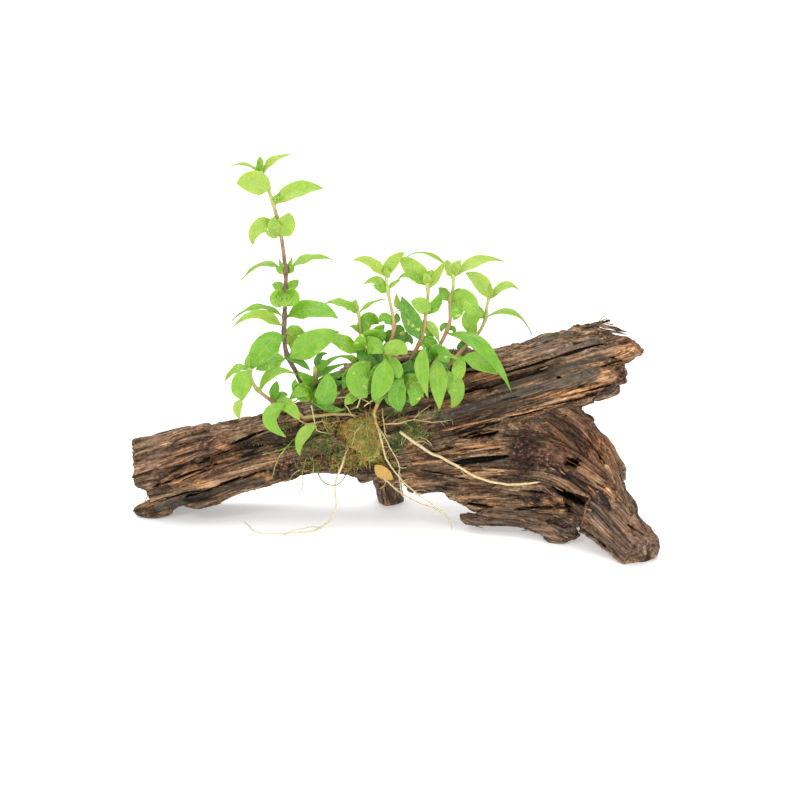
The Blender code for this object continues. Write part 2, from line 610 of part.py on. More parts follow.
LEAVES = {
    "leaf_tall_1_left": ((266, 194, 2), (252, 190, -1), (237.6, 184, -3), 8.5, 72),
    "leaf_tall_1_right": ((278, 204, 4), (298, 186, 5), (323, 188, 8), 9, 38),
    "leaf_tall_2_left": ((271, 222, 0), (263, 231, -3), (254, 244, -6), 7, 70),
    "leaf_tall_3_left": ((282, 268, 2), (262, 265, 0), (241, 281, -1), 9, 12),
    "leaf_tall_3_right": ((289, 269, 4), (312, 257, 6), (333, 260, 7), 9, 18),
    "leaf_tall_4_left": ((281.5, 313, 2), (257, 307, 1), (232, 320, 0), 9, 10),
    "leaf_tall_5_left": ((280.5, 325, 1), (256, 318.5, -6), (233, 327, -9), 9, 22),
    "leaf_tall_4_right": ((289, 315, 4), (313, 304, 3), (338, 319, 0), 10, 38),
    "leaf_tall_6_left": ((281, 341, 1), (266, 354, -4), (250, 368, -6), 10, 80),
    "leaf_tall_6_back": ((288, 331, 6), (298, 339, 11), (293, 353, 12), 7, 80),
    "leaf_tall_7_right": ((291, 357, 3), (313.5, 340, 0), (337, 338, -3), 11, 72),
    "leaf_tall_7_left": ((283, 360, 1), (270, 366, -2), (256, 369, -3), 6, 60),
    "leaf_low_front": ((247, 373, -8.5), (246, 386, -11), (247, 400, -11), 9, 90),
    "leaf_low_right": ((266, 390, -6), (279, 377, -5), (296, 374, -4), 7, 18),
    "leaf_low_hanging": ((278, 410, -7), (272, 423, -10), (286, 437, -11), 8, 90),
    "leaf_brown_stem": ((317, 399, 1), (321, 389, -3), (326, 374, -3), 9, 82),
    "leaf_short_top": ((355.5, 311, 7), (341, 304, 6), (325.5, 303, 5), 7, 18),
    "leaf_short_front": ((364, 345, 5), (373, 340, 1), (386, 334, 0), 10.5, 85),
    "leaf_short_left": ((357, 353, 6), (343, 344, 4), (328, 338, 3), 8, 40),
    "leaf_d_left": ((383.5, 277, -3), (369, 262, -4), (353, 260, -5), 8, 25),
    "leaf_d_right": ((389, 275, -3), (397, 265, -3), (404, 254, -3), 7.5, 60),
    "leaf_e_left": ((423.5, 278, 0), (411, 266, 1), (400, 259, 2), 7.5, 55),
    "leaf_e_dark": ((419, 330, -2), (407, 314, -3), (404, 297, -2), 8.5, 80),
    "leaf_f_right": ((456.5, 275, 6), (484, 259, 7), (504, 261, 8), 8.5, 28),
    "leaf_f_front": ((453.5, 298, 4), (462.5, 305.5, 0), (470, 316, -3), 10, 75),
    "leaf_g_hanging": ((483, 311, 8), (475, 320, 5), (474, 334, 4), 8, 85),
    "leaf_f_long": ((451, 336, 2), (486, 350, -5), (512, 391, -9), 8.5, 62),
    "leaf_f_under": ((462, 357, -3), (479, 363, -3), (498, 374, -4), 8, 78),
    "leaf_g_left": ((486.5, 297, 9), (477, 285, 8), (465.5, 274, 7), 7.5, 60),
    "leaf_g_top": ((493, 297, 10), (507, 286, 11), (519, 290, 12), 6.5, 28),
    "leaf_g_right": ((489, 316, 10), (517, 311, 11), (531, 334, 12), 7.5, 18),
    "leaf_hang_1": ((423, 352, -4), (426, 374, -7), (428, 398, -8), 6, 90),
    "leaf_hang_2": ((440, 361, -2), (440, 384, -6), (438, 409, -7), 8, 90),
    "leaf_hang_3": ((451, 375, -4), (452, 391, -3), (451, 407, -3), 6, 90),
    "leaf_hang_4": ((399, 384, -6), (400, 397, -8), (400, 411, -8), 8, 90),
    "leaf_hang_5": ((383, 361, -6), (380, 382, -9), (376, 403, -9), 8, 90),
    "leaf_hang_6": ((373, 366, -1), (363, 382, -4), (357, 401, -5), 10, 90),
}

# The roots: their places from their foot on, with None where they lie on the wood, and their
# thickness at both ends.
ROOTS = {
    "rhizome": ([(292, 405, 8), (303, 412, None), (316, 414, None), (332, 413.5, None),
     (347, 416, None)], 1.0, 0.9),
    "root_main": (
        [(381, 402, None), (374, 413, None), (375, 424, None), (380, 440, None), (385, 457, None),
         (392, 469, 2),
         (399.5, 478, 1), (407, 486, 0), (414, 493, -1)], 0.75, 0.35,
    ),
    "root_forked": (
        [(390, 467, -1), (393, 482, -2), (403, 494, -3), (421, 505, -4), (439, 511, -5),
         (449, 519, -7), (454, 532, -8)], 0.55, 0.3,
    ),
    "root_long": (
        [(401, 433, None), (410, 440, None), (421, 448, None), (433, 454, None), (444, 458, None),
         (456, 465, None),
         (480, 477, None), (507, 484, None), (523, 484, None), (539, 482, None)], 0.65, 0.35,
    ),
    "root_across": ([(388, 422.5, None), (406, 421, None), (425, 420, None), (452, 419, None)], 0.55, 0.35),
    "root_trailing": (
        [(344, 462, None), (338, 475, -1), (334, 486, 0), (337, 497, 0), (335, 510, 0), (329, 520, 2),
         (310, 530, "floor"), (275, 532, "floor"), (248, 526, "floor")], 0.5, 0.3,
    ),
}

for name, (course, thin, thick, small_leaves) in STEMS.items():
    stem = tube(name, [seen(*place) for place in course], thin, thick, STEM)
    for row in small_leaves:
        small = leaf("small_leaf", *row)
        boolean(stem, small, "UNION")
        discard(small)

for name, row in LEAVES.items():
    leaf(name, *row)

for name, (course, thick, thin) in ROOTS.items():
    tube(name, laid(between(course, LAID_STEPS), thick), thick, thin, ROOT)

discard(whole_wood)
for cutter in CUTTERS.objects:
    cutter.hide_render = True
    cutter.display_type = "WIRE"
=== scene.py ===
# %% [markdown]
# # A staurogyne rooted on driftwood
#
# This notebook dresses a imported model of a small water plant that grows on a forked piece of
# driftwood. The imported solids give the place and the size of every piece. Here each of them gets
# the surface that the real one has: torn and layered wood, leaves with a keel and veins, stems
# with swollen joints, roots with their rootlets, and a clump of moss.

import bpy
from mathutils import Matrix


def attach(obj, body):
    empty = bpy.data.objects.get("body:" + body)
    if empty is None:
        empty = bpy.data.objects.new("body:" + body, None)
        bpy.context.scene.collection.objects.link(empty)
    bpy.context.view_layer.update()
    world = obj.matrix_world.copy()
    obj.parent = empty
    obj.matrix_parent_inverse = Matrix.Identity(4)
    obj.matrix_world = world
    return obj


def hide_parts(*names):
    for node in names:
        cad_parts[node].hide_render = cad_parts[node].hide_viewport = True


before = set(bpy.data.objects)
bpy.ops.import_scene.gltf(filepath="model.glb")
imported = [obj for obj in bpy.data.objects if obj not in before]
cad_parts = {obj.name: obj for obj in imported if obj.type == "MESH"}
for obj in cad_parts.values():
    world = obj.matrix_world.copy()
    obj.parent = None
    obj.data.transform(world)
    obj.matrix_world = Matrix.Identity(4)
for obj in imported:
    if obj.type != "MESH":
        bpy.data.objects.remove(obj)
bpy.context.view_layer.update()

# %% [markdown]
# Places on the plant are easiest to read off its front picture, so they are written as pixels
# across and down, and as millimetres back from the middle of the object. One small function turns
# such a place into metres. The camera stands where that function says the eye is, so that the
# notes and the render can't drift apart.

# %% Places as seen from the front
import math

import bmesh
import bpy
import numpy as np
from mathutils import Vector
from mathutils.bvhtree import BVHTree
from mathutils.kdtree import KDTree

MM = 0.001
PICTURE_SIDE = 800.0
PIXEL = 238.0 * MM / 529.0
VIEW_DISTANCE = 1.5
VIEW_TILT = math.radians(17.0)
AIM = np.array((3.96, 0.4, 62.2)) * MM
AHEAD = np.array((0.0, math.cos(VIEW_TILT), -math.sin(VIEW_TILT)))
UPWARD = np.array((0.0, math.sin(VIEW_TILT), math.cos(VIEW_TILT)))
ACROSS = np.array((1.0, 0.0, 0.0))
EYE = AIM - AHEAD * VIEW_DISTANCE


def sight_line(across, down):
    """The direction from the eye through that pixel of the front picture."""
    middle = PICTURE_SIDE / 2
    return (
        AHEAD
        + ACROSS * ((across - middle) * PIXEL / VIEW_DISTANCE)
        - UPWARD * ((down - middle) * PIXEL / VIEW_DISTANCE)
    )


def seen(across, down, back):
    """The point at that pixel that lies that many millimetres behind the middle of the object."""
    line = sight_line(across, down)
    return EYE + line * ((back * MM + AIM[1] - EYE[1]) / line[1])


def pixels_of(points):
    """Where points appear in the front picture, as pixels across and down."""
    from_eye = points - EYE
    far = from_eye @ AHEAD
    scale = VIEW_DISTANCE / (PIXEL * far)
    across = from_eye @ ACROSS * scale + PICTURE_SIDE / 2
    return across, PICTURE_SIDE / 2 - from_eye @ UPWARD * scale


print("eye at", EYE)

# %% [markdown]
# The camera is a long lens far away, because the picture shows hardly any perspective. Its field
# is set by the size of a pixel at the distance of the object.

# %% Camera
SENSOR_MM = 36.0
SHARP_FROM = 0.05
SHARP_TO = 50.0


def linked_object(name, data):
    """A new object for these data, in the scene."""
    made = bpy.data.objects.new(name, data)
    bpy.context.scene.collection.objects.link(made)
    return made


def looking(obj, place, heading):
    """Puts a camera or a lamp at its place and turns it along the heading."""
    obj.location = place
    obj.rotation_mode = "QUATERNION"
    obj.rotation_quaternion = Vector(heading).to_track_quat("-Z", "Y")
    return obj


camera_data = bpy.data.cameras.new("front_camera")
camera_data.sensor_width = SENSOR_MM
camera_data.lens = SENSOR_MM * VIEW_DISTANCE / (PICTURE_SIDE * PIXEL)
camera_data.clip_start = SHARP_FROM
camera_data.clip_end = SHARP_TO
bpy.context.scene.camera = looking(linked_object("front_camera", camera_data), EYE, AHEAD)
print("lens", round(camera_data.lens, 1), "mm")

# %% [markdown]
# The plant is shown on seamless white paper, lit so brightly from all round that only a trace of
# shadow is left under the wood. A large sheet that glows a little, a white world, a wide lamp
# overhead and a weaker one at the right do the same. A small lamp at the left gives the wet leaves
# their glints. The plain view transform keeps white paper white and greens clean.

# %% Paper and light
FLOOR_SIDE = 9.0
PAPER_TONE = 0.93
PAPER_GLOW = 0.31
ROOM_LIGHT = 0.68
ROOM_SEEN = 1.05
# Place and side in metres, and power in watts.
LAMPS = {
    "overhead_lamp": ((-0.30, 0.10, 1.5), 1.7, 19.0),
    "side_lamp": ((0.9, -1.1, 0.55), 0.9, 6.5),
    "glint_lamp": ((-0.55, -1.15, 0.95), 0.3, 4.5),
}

bpy.ops.object.select_all(action="DESELECT")
bpy.ops.mesh.primitive_plane_add(size=FLOOR_SIDE, location=(0, 0, 0))
paper = bpy.context.active_object
paper.name = "paper"

paper_white = bpy.data.materials.new("paper_white")
paper_white.use_nodes = True
paper_shader = paper_white.node_tree.nodes["Principled BSDF"]
paper_shader.inputs["Base Color"].default_value = (PAPER_TONE, PAPER_TONE, PAPER_TONE, 1)
paper_shader.inputs["Roughness"].default_value = 0.9
paper_shader.inputs["Specular IOR Level"].default_value = 0.1
paper_shader.inputs["Emission Color"].default_value = (1, 1, 1, 1)
paper_shader.inputs["Emission Strength"].default_value = PAPER_GLOW
paper.data.materials.append(paper_white)

world = bpy.data.worlds.new("white_room")
world.use_nodes = True
room_tree = world.node_tree
room_tree.nodes["Background"].inputs["Color"].default_value = (1, 1, 1, 1)
seen_directly = room_tree.nodes.new("ShaderNodeLightPath").outputs["Is Camera Ray"]
room_strength = room_tree.nodes.new("ShaderNodeMapRange")
room_strength.inputs["To Min"].default_value = ROOM_LIGHT
room_strength.inputs["To Max"].default_value = ROOM_SEEN
room_tree.links.new(seen_directly, room_strength.inputs["Value"])
room_tree.links.new(room_strength.outputs[0], room_tree.nodes["Background"].inputs["Strength"])
bpy.context.scene.world = world
bpy.context.scene.view_settings.view_transform = "Standard"

for name, (place, side, power) in LAMPS.items():
    light = bpy.data.lights.new(name, "AREA")
    light.size = side
    light.energy = power
    looking(linked_object(name, light), place, Vector(AIM) - Vector(place))
print(len(LAMPS), "lamps over a sheet of", FLOOR_SIDE, "m")

# %% [markdown]
# A few small helpers serve every piece. One selects a single object, one applies a modifier the
# way the button does, and others read and write all the points of a mesh at once as an array,
# which is how thousands of points are moved in a moment. The last ones copy a imported solid, join
# pieces into one, and give a piece its material, its place on the body and the solids that it
# stands for.

# %% Helpers for meshes
def only(obj):
    """Deselects everything, then selects obj and makes it the active one."""
    bpy.ops.object.select_all(action="DESELECT")
    obj.select_set(True)
    bpy.context.view_layer.objects.active = obj


def modified(obj, kind, **settings):
    """Adds a modifier with these settings and applies it."""
    only(obj)
    step = obj.modifiers.new(kind.lower(), kind)
    for name, value in settings.items():
        setattr(step, name, value)
    bpy.ops.object.modifier_apply(modifier=step.name)


def points_of(mesh, field="co"):
    """The places of all the points of a mesh, or their normals, as rows of an array."""
    rows = np.empty(len(mesh.vertices) * 3, np.float32)
    mesh.vertices.foreach_get(field, rows)
    return rows.reshape(-1, 3).astype(float)


def move_points(mesh, points):
    """Puts all the points of a mesh at new places."""
    mesh.vertices.foreach_set("co", points.astype(np.float32).ravel())
    mesh.update()


def note(mesh, name, values):
    """Stores a number or a vector for each point of the mesh, for its material to read."""
    kind, field = ("FLOAT_VECTOR", "vector") if np.ndim(values) == 2 else ("FLOAT", "value")
    stored = mesh.attributes.new(name, kind, "POINT")
    stored.data.foreach_set(field, np.ascontiguousarray(values, np.float32).ravel())


def note_all(mesh, name, value):
    """Stores one number for all the points of the mesh."""
    note(mesh, name, np.full(len(mesh.vertices), value))


def merge_points(obj, near, outwards=False):
    """Joins points that lie nearer to each other than that, and can turn all faces outwards."""
    only(obj)
    bpy.ops.object.mode_set(mode="EDIT")
    bpy.ops.mesh.select_all(action="SELECT")
    bpy.ops.mesh.remove_doubles(threshold=near)
    if outwards:
        bpy.ops.mesh.normals_make_consistent(inside=False)
    bpy.ops.object.mode_set(mode="OBJECT")


def merged_copy(node_name, name):
    """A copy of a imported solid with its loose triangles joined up."""
    made = linked_object(name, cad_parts[node_name].data.copy())
    made.data.materials.clear()
    merge_points(made, 0.002 * MM)
    return made


def joined(name, pieces):
    """One object made of all the pieces."""
    bpy.ops.object.select_all(action="DESELECT")
    for piece in pieces:
        piece.select_set(True)
    bpy.context.view_layer.objects.active = pieces[0]
    bpy.ops.object.join()
    pieces[0].name = name
    return pieces[0]


def finished(piece, look, nodes=()):
    """Gives a piece its material, its place on the body and the solids that it stands for."""
    piece.data.materials.clear()
    piece.data.materials.append(look)
    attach(piece, "root")
    if nodes:
        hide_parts(*nodes)


print("helpers are ready for", len(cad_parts), "solids")


# %% [markdown]
# Rot and water shape wood by chance, but the chance has to fall the same way each time. So the
# noise is made from whole numbers that are mixed by multiplication. "drift" is smooth, like
# rolling ground. "bundles" breaks space into cells, each with a height of its own, like fibres
# that split apart into bundles.

# %% Repeatable chance
AXIS_MIXERS = (73856093, 19349663, 83492791)
SEED_MIXER = 9176213
ROUND_MIXERS = (1103515245, 69069, 1664525)
LARGEST = 0x7FFFFFFF
FAR_AWAY = 9.0


def dice(cells, seed):
    """A number from 0 to 1 for each whole-numbered cell, always the same one."""
    across, back, up = cells.astype(np.int64).T * np.array(AXIS_MIXERS)[:, None]
    mixed = across ^ back ^ up ^ seed * SEED_MIXER
    for step in ROUND_MIXERS:
        mixed = ((mixed ^ (mixed >> 13)) * step + 12345) & LARGEST
    return mixed / LARGEST


def drift(points, seed):
    """Smooth noise from -1 to 1, about one hill for each unit of distance."""
    low = np.floor(points)
    part = points - low
    ease = part * part * (3 - 2 * part)
    total = np.zeros(len(points))
    for corner in range(8):
        step = np.array([corner & 1, corner >> 1 & 1, corner >> 2 & 1])
        weight = np.prod(np.where(step, ease, 1 - ease), axis=1)
        total += weight * dice(low + step, seed)
    return total * 2 - 1


def sway(points, seed):
    """Three drifts at once, which bend things to any side."""
    return np.stack([drift(points, seed + k) for k in range(3)], axis=1)


def bundles(points, seed):
    """For each point the number of its bundle, from 0 to 1, and how far inside the bundle it lies."""
    low = np.floor(points)
    nearest = np.full(len(points), FAR_AWAY)
    second = np.full(len(points), FAR_AWAY)
    number = np.zeros(len(points))
    for shift in np.ndindex(3, 3, 3):
        cell = low + np.array(shift) - 1
        centre = cell + np.stack([dice(cell, seed + k) for k in (1, 2, 3)], axis=1)
        away = np.linalg.norm(points - centre, axis=1)
        closer = away < nearest
        second = np.where(closer, nearest, np.minimum(second, away))
        number = np.where(closer, dice(cell, seed + 4), number)
        nearest = np.where(closer, away, nearest)
    return number, second - nearest


def rise(values, start, end):
    """0 below start, 1 above end, and smooth in between."""
    share = np.clip((values - start) / (end - start), 0, 1)
    return share * share * (3 - 2 * share)


print("dice", dice(np.array([[1, 2, 3]]), 7))

# %% [markdown]
# Driftwood tears along its fibres, so everything on it is long in one direction. The direction is
# written down as a few lines that follow the wood, one for the long limb, two for the leg, and
# one each for the prong and the stub at the back. Every point of the surface then gets three
# numbers: how far along its line it is, and how far above and behind it.

# %% Lines of the grain
GRAIN_STEP = 2.0 * MM
GRAIN_LINES = {
    "limb": [(95, 499, 18), (157, 476, 19), (230, 454, 20), (300, 437, 20), (380, 417, 18),
             (450, 401, 16), (520, 382, 14), (596, 358, 14), (690, 330, 14)],
    "leg": [(395, 478, 12), (450, 473, 5), (500, 469, -1), (548, 474, -9), (588, 498, -21),
            (625, 533, -37), (680, 588, -58)],
    "leg_edge": [(520, 392, 8), (560, 408, 6), (590, 434, 0), (612, 474, -10), (631, 512, -27),
                 (668, 570, -52)],
    "prong": [(440, 512, 3), (485, 514, -3), (530, 518, -9), (560, 524, -15), (600, 535, -22)],
    "stub": [(386, 440, 16), (387, 476, 31), (388, 490, 39), (392, 515, 50)],
}
GRAIN_OF_NODE = {
    "driftwood_left_limb": ["limb"],
    "driftwood_right_limb": ["limb"],
    "driftwood_right_leg": ["leg", "leg_edge"],
    "driftwood_leg_prong": ["prong"],
    "driftwood_back_foot": ["stub"],
    "driftwood_under_splinter": ["limb"],
}
print("grain lines", len(GRAIN_LINES))

# %% Following the grain
# The noise of a second line of grain is read so many metres further on than that of the first.
NEXT_LINE = 0.5


def unit(vectors):
    """A vector, or rows of them, brought to length 1."""
    return vectors / np.linalg.norm(vectors, axis=-1, keepdims=True)


def smooth_line(places, step):
    """Points at even steps on a smooth curve through the places."""
    ends = [2 * places[0] - places[1], *places, 2 * places[-1] - places[-2]]
    line = []
    for a, b, c, d in zip(ends, ends[1:], ends[2:], ends[3:]):
        count = max(2, int(np.linalg.norm(c - b) / step))
        for t in np.arange(count) / count:
            line.append(
                0.5 * (2 * b + (c - a) * t + (2 * a - 5 * b + 4 * c - d) * t**2
                       + (3 * b - a - 3 * c + d) * t**3)
            )
    return np.array([*line, places[-1]])


def seen_line(places, step):
    """Points at even steps on a smooth curve through places of the front picture."""
    return smooth_line([seen(*place) for place in places], step)


def way_along(line):
    """How far along a line each of its points is."""
    steps = np.linalg.norm(np.diff(line, axis=0), axis=1)
    return np.concatenate([[0.0], np.cumsum(steps)])


def line_frames(line):
    """Along, up and back at each point of a line."""
    along = unit(np.gradient(line, axis=0))
    up = unit(np.cross(AHEAD, along))
    up *= np.sign(up[:, 2:3])
    return along, up, np.cross(along, up)


def nearest_of(places, points):
    """For each point the number of the place that lies nearest to it."""
    tree = KDTree(len(places))
    for i, place in enumerate(places):
        tree.insert(place, i)
    tree.balance()
    return np.array([tree.find(point)[1] for point in points])


def grain_at(points, names):
    """How far along, up and back each point lies in the flow of the fibres, in metres."""
    best = np.full(len(points), FAR_AWAY)
    grain = np.zeros((len(points), 3))
    for number, name in enumerate(names):
        line = seen_line(GRAIN_LINES[name], GRAIN_STEP)
        along, up, back = line_frames(line)
        index = nearest_of(line, points)
        away = points - line[index]
        apart = np.linalg.norm(away, axis=1)
        far = way_along(line)[index] + number * NEXT_LINE
        here = np.stack([far + np.sum(away * along[index], 1), np.sum(away * up[index], 1),
                         np.sum(away * back[index], 1)], axis=1)
        closer = apart < best
        grain[closer] = here[closer]
        best = np.minimum(best, apart)
    return grain


def grain_direction(place, names):
    """The direction of the fibres at one place."""
    lines = [seen_line(GRAIN_LINES[name], GRAIN_STEP * 3) for name in names]
    away = [np.linalg.norm(line - place, axis=1) for line in lines]
    nearest = min(range(len(lines)), key=lambda k: away[k].min())
    return line_frames(lines[nearest])[0][away[nearest].argmin()]


print("fibres at the middle run along", grain_direction(AIM, ["limb"]).round(2))

# %% [markdown]
# What the weather did at one place is written where it is seen in the front picture: a split runs
# from one pixel to another, and is so many pixels wide and so many millimetres deep. It is cut
# into what faces the viewer, straight back, as a real split opens towards the light. Patches of
# crumbled, freshly torn or smooth wood are ovals.

# %% Shifts, splits and patches
# Where the outline of a solid is a little off: the pixel, how far it moves, and how far that reaches.
SHIFTS = [
    ((200, 421), (0, 5), 14), ((224, 416), (0, 12), 14), ((244, 414), (0, 8), 13),
    ((268, 407), (0, 10), 17), ((140, 486), (-12, 2), 11), ((139, 491), (-12, 0), 6),
    ((182, 513), (0, -9), 10), ((240, 497), (0, -5), 13), ((270, 484), (0, -3), 14),
    ((320, 475), (0, -6), 24), ((552, 338), (0, -8), 15), ((586, 322), (0, 3), 10),
    ((629, 374), (-5, 0), 6), ((621, 334), (0, 7), 9), ((577, 412), (24, -1), 13),
    ((600, 440), (11, 0), 14), ((613, 464), (6, 0), 12), ((648, 522), (-15, 2), 13),
    ((656, 546), (9, 3), 10), ((645, 557), (4, 10), 10), ((466, 518), (-1, 5), 11), ((484, 523), (0, 4), 12),
    ((560, 537), (0, 6), 12), ((476, 499), (0, 9), 9), ((468, 505), (0, 4), 9),
]
MOSS_SHIFTS = [((344, 451), (13, -3), 10), ((338, 432), (3, -2), 7), ((352, 460), (5, 2), 8),
               ((383, 440), (-3, 2), 7), ((372, 461), (0, 4), 9), ((350, 417), (0, 4), 8)]
SPLITS = [
    ((229, 445), (263, 431), 2.6, 5.0), ((186, 497), (262, 470), 2.2, 4.0),
    ((150, 503), (214, 486), 1.6, 1.6), ((150, 489), (216, 463), 1.6, 3.2),
    ((180, 482), (212, 468), 1.0, 2.0), ((200, 462), (232, 450), 1.4, 2.0),
    ((260, 418), (292, 412), 1.4, 2.2), ((216, 486), (262, 473), 1.1, 1.8),
    ((495, 377), (597, 345), 2.0, 3.4), ((450, 395), (503, 383), 1.7, 3.0),
    ((570, 352), (604, 343), 1.4, 3.0), ((522, 353), (562, 338), 1.2, 1.6),
    ((450, 374), (520, 365), 1.4, 2.0), ((500, 401), (520, 396), 1.2, 1.5),
    ((454, 433), (500, 422), 3.0, 2.2), ((459, 438), (498, 432), 3.2, 5.0),
    ((505, 418), (560, 404), 2.0, 3.0), ((560, 398), (612, 384), 1.4, 2.2),
    ((545, 407), (600, 394), 1.3, 2.4), ((450, 464), (508, 456), 4.0, 3.6),
    ((430, 452), (458, 447), 1.6, 2.4), ((557, 377), (561, 377), 1.6, 4.0),
    ((566, 459), (580, 466), 3.2, 4.0), ((553, 487), (586, 505), 4.2, 6.0),
    ((514, 509), (572, 507), 1.8, 4.0), ((468, 504), (492, 507), 2.4, 5.0),
    ((588, 438), (606, 462), 1.0, 1.5), ((596, 483), (606, 488), 1.6, 2.4),
    ((598, 542), (606, 548), 2.0, 2.6), ((628, 525), (644, 536), 1.5, 2.0),
    ((610, 357), (616, 359), 1.4, 3.0), ((600, 367), (622, 360), 1.2, 2.0),
    ((420, 470), (470, 480), 1.2, 1.8), ((520, 490), (548, 493), 1.3, 2.2),
    ((552, 523), (566, 528), 1.4, 2.0), ((575, 415), (600, 436), 1.0, 1.2),
]
CRUMBLED = [(524, 452, 17, 24), (556, 462, 22, 16), (547, 497, 24, 9), (628, 352, 15, 13),
            (617, 377, 10, 12), (480, 436, 16, 6), (290, 470, 26, 14), (215, 445, 20, 10),
            (635, 540, 18, 14), (570, 524, 16, 10), (345, 460, 40, 14)]
FRESH = [(628, 352, 16, 12), (560, 396, 46, 4), (478, 378, 36, 5), (606, 375, 14, 10),
         (480, 446, 22, 3), (600, 492, 16, 8), (200, 482, 34, 5),
         (225, 447, 12, 4), (600, 455, 20, 20), (553, 502, 14, 6), (450, 405, 10, 5),
         (150, 505, 10, 5), (575, 358, 10, 3), (262, 476, 10, 5)]
DUSTY = [(500, 520, 42, 14), (555, 528, 24, 12), (625, 535, 36, 30), (600, 510, 20, 14),
         (560, 350, 40, 8), (150, 455, 14, 26)]
# How the wood is stained: an oval, and what it does to red, green and blue. The dark ovals low on the left
# limb are painted shade on its underside.
STAINS_AND_SHADE = [((565, 437, 48, 26), (0.70, 0.56, 0.50)), ((524, 455, 20, 26), (0.50, 0.44, 0.42)),
          ((590, 480, 34, 26), (0.86, 0.78, 0.76)), ((470, 410, 34, 12), (0.70, 0.70, 0.72)),
          ((500, 520, 50, 12), (0.62, 0.60, 0.60)), ((625, 535, 34, 24), (1.28, 1.12, 1.05)),
          ((165, 462, 40, 26), (1.22, 1.08, 1.00)), ((200, 475, 40, 8), (0.80, 0.76, 0.74)),
          ((345, 460, 50, 16), (0.60, 0.56, 0.50)), ((205, 505, 50, 8), (0.62, 0.66, 0.66)),
          ((550, 368, 44, 10), (0.84, 0.86, 0.90)), ((612, 327, 18, 9), (0.62, 0.62, 0.64)),
          ((240, 482, 26, 6), (0.66, 0.70, 0.74)), ((196, 496, 26, 6), (0.62, 0.66, 0.70)),
          ((148, 511, 16, 6), (0.66, 0.66, 0.68))]
SLICK = [((440, 418), (596, 372), 6.5), ((500, 388), (600, 356), 4.0),
         ((560, 353), (596, 340), 4.0), ((158, 508), (262, 479), 4.5),
         ((452, 464), (508, 458), 5.0), ((205, 452), (262, 436), 1.6),
         ((520, 345), (570, 333), 2.0)]


print("splits", len(SPLITS), "and stains", len(STAINS_AND_SHADE))

# %% Reading the notes on the wood
def shifted(points, shifts):
    """The points after the small shifts of the outline, in the plane of the front picture."""
    across, down = pixels_of(points)
    total, moved = np.ones(len(points)), np.zeros((len(points), 2))
    for (x, y), (dx, dy), reach in shifts:
        near = np.exp(-((across - x) ** 2 + (down - y) ** 2) / reach**2)
        total += np.maximum(0.0, near - 0.5)
        moved += near[:, None] * (dx, dy)
    moved *= PIXEL / total[:, None]
    return points + ACROSS * moved[:, :1] - UPWARD * moved[:, 1:]


def along_split(across, down, start, end):
    """Distance in pixels from the line between two pixels, and the share of the way along it."""
    run = np.array(end, float) - start
    away = np.stack([across - start[0], down - start[1]], axis=1)
    share = np.clip(away @ run / (run @ run), 0, 1)
    return np.linalg.norm(away - share[:, None] * run, axis=1), share


def patch(across, down, ovals):
    """1 inside any of the ovals, fading to 0 round them."""
    total = np.zeros(len(across))
    for middle, height, wide, tall in ovals:
        away = np.hypot((across - middle) / wide, (down - height) / tall)
        total = np.maximum(total, 1 - rise(away, 0.55, 1.25))
    return total


def stain_and_shade_at(across, down):
    """What the stains, and the painted shade low on the left limb, do to the colour of each point."""
    total = np.ones((len(across), 3))
    for oval, colour in STAINS_AND_SHADE:
        total *= 1 + patch(across, down, [oval])[:, None] * (np.array(colour) - 1)
    return total


def strip(across, down, lines):
    """1 on any of the lines, fading to 0 at their width."""
    total = np.zeros(len(across))
    for start, end, wide in lines:
        away, _ = along_split(across, down, start, end)
        total = np.maximum(total, 1 - rise(away / wide, 0.6, 1.1))
    return total


print("colour under the moss", stain_and_shade_at(np.array([345.0]), np.array([460.0])).round(2))

# %% [markdown]
# The wood could be carved by hand in sculpt mode, or drawn with a texture alone. A texture alone
# leaves a smooth outline, and sculpting can't be repeated. So each solid is lengthened where it
# was cut from its neighbour, which hides the cut, remeshed into an even skin, and its points are
# moved by the noise that was laid out along the grain. Bundles step up and down like slats, finer
# ridges run on top, and crumbled places are lumpy in every direction.

# %% Weathering the wood
SWELL = 0.25 * MM
CUT_GAP = 0.7 * MM
REACH_IN = 2.2 * MM
SMOOTHINGS = 7
GROUND_GAP = 0.05 * MM
# The width in millimetres of the faces that each solid is remeshed into.
SKIN = {"driftwood_left_limb": 0.49, "driftwood_right_limb": 0.59, "driftwood_right_leg": 0.54,
        "driftwood_leg_prong": 0.40, "driftwood_back_foot": 0.45, "driftwood_under_splinter": 0.30}
CALM = {"driftwood_under_splinter": 0.35}
# How long, how high and how deep a cell of each noise is in millimetres.
SLAT = np.array((1 / 55.0, 1 / 5.2, 1 / 5.2)) / MM
LATH = np.array((1 / 26.0, 1 / 2.3, 1 / 2.3)) / MM
RIDGE = np.array((1 / 30.0, 1 / 3.4, 1 / 3.4)) / MM
FIBRE = np.array((1 / 14.0, 1 / 1.25, 1 / 1.25)) / MM
CRUMB = 2.1 * MM
GRIT = 1.1 * MM


def search_tree(meshes):
    """A search tree over the faces of meshes, which finds what is nearest or what a ray meets."""
    starts = np.cumsum([0] + [len(mesh.vertices) for mesh in meshes[:-1]])
    return BVHTree.FromPolygons(
        np.concatenate([points_of(mesh) for mesh in meshes]).tolist(),
        [[start + corner for corner in face.vertices]
         for mesh, start in zip(meshes, starts) for face in mesh.polygons],
    )


WOOD_SOLIDS = {name: search_tree([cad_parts[name].data]) for name in GRAIN_OF_NODE}


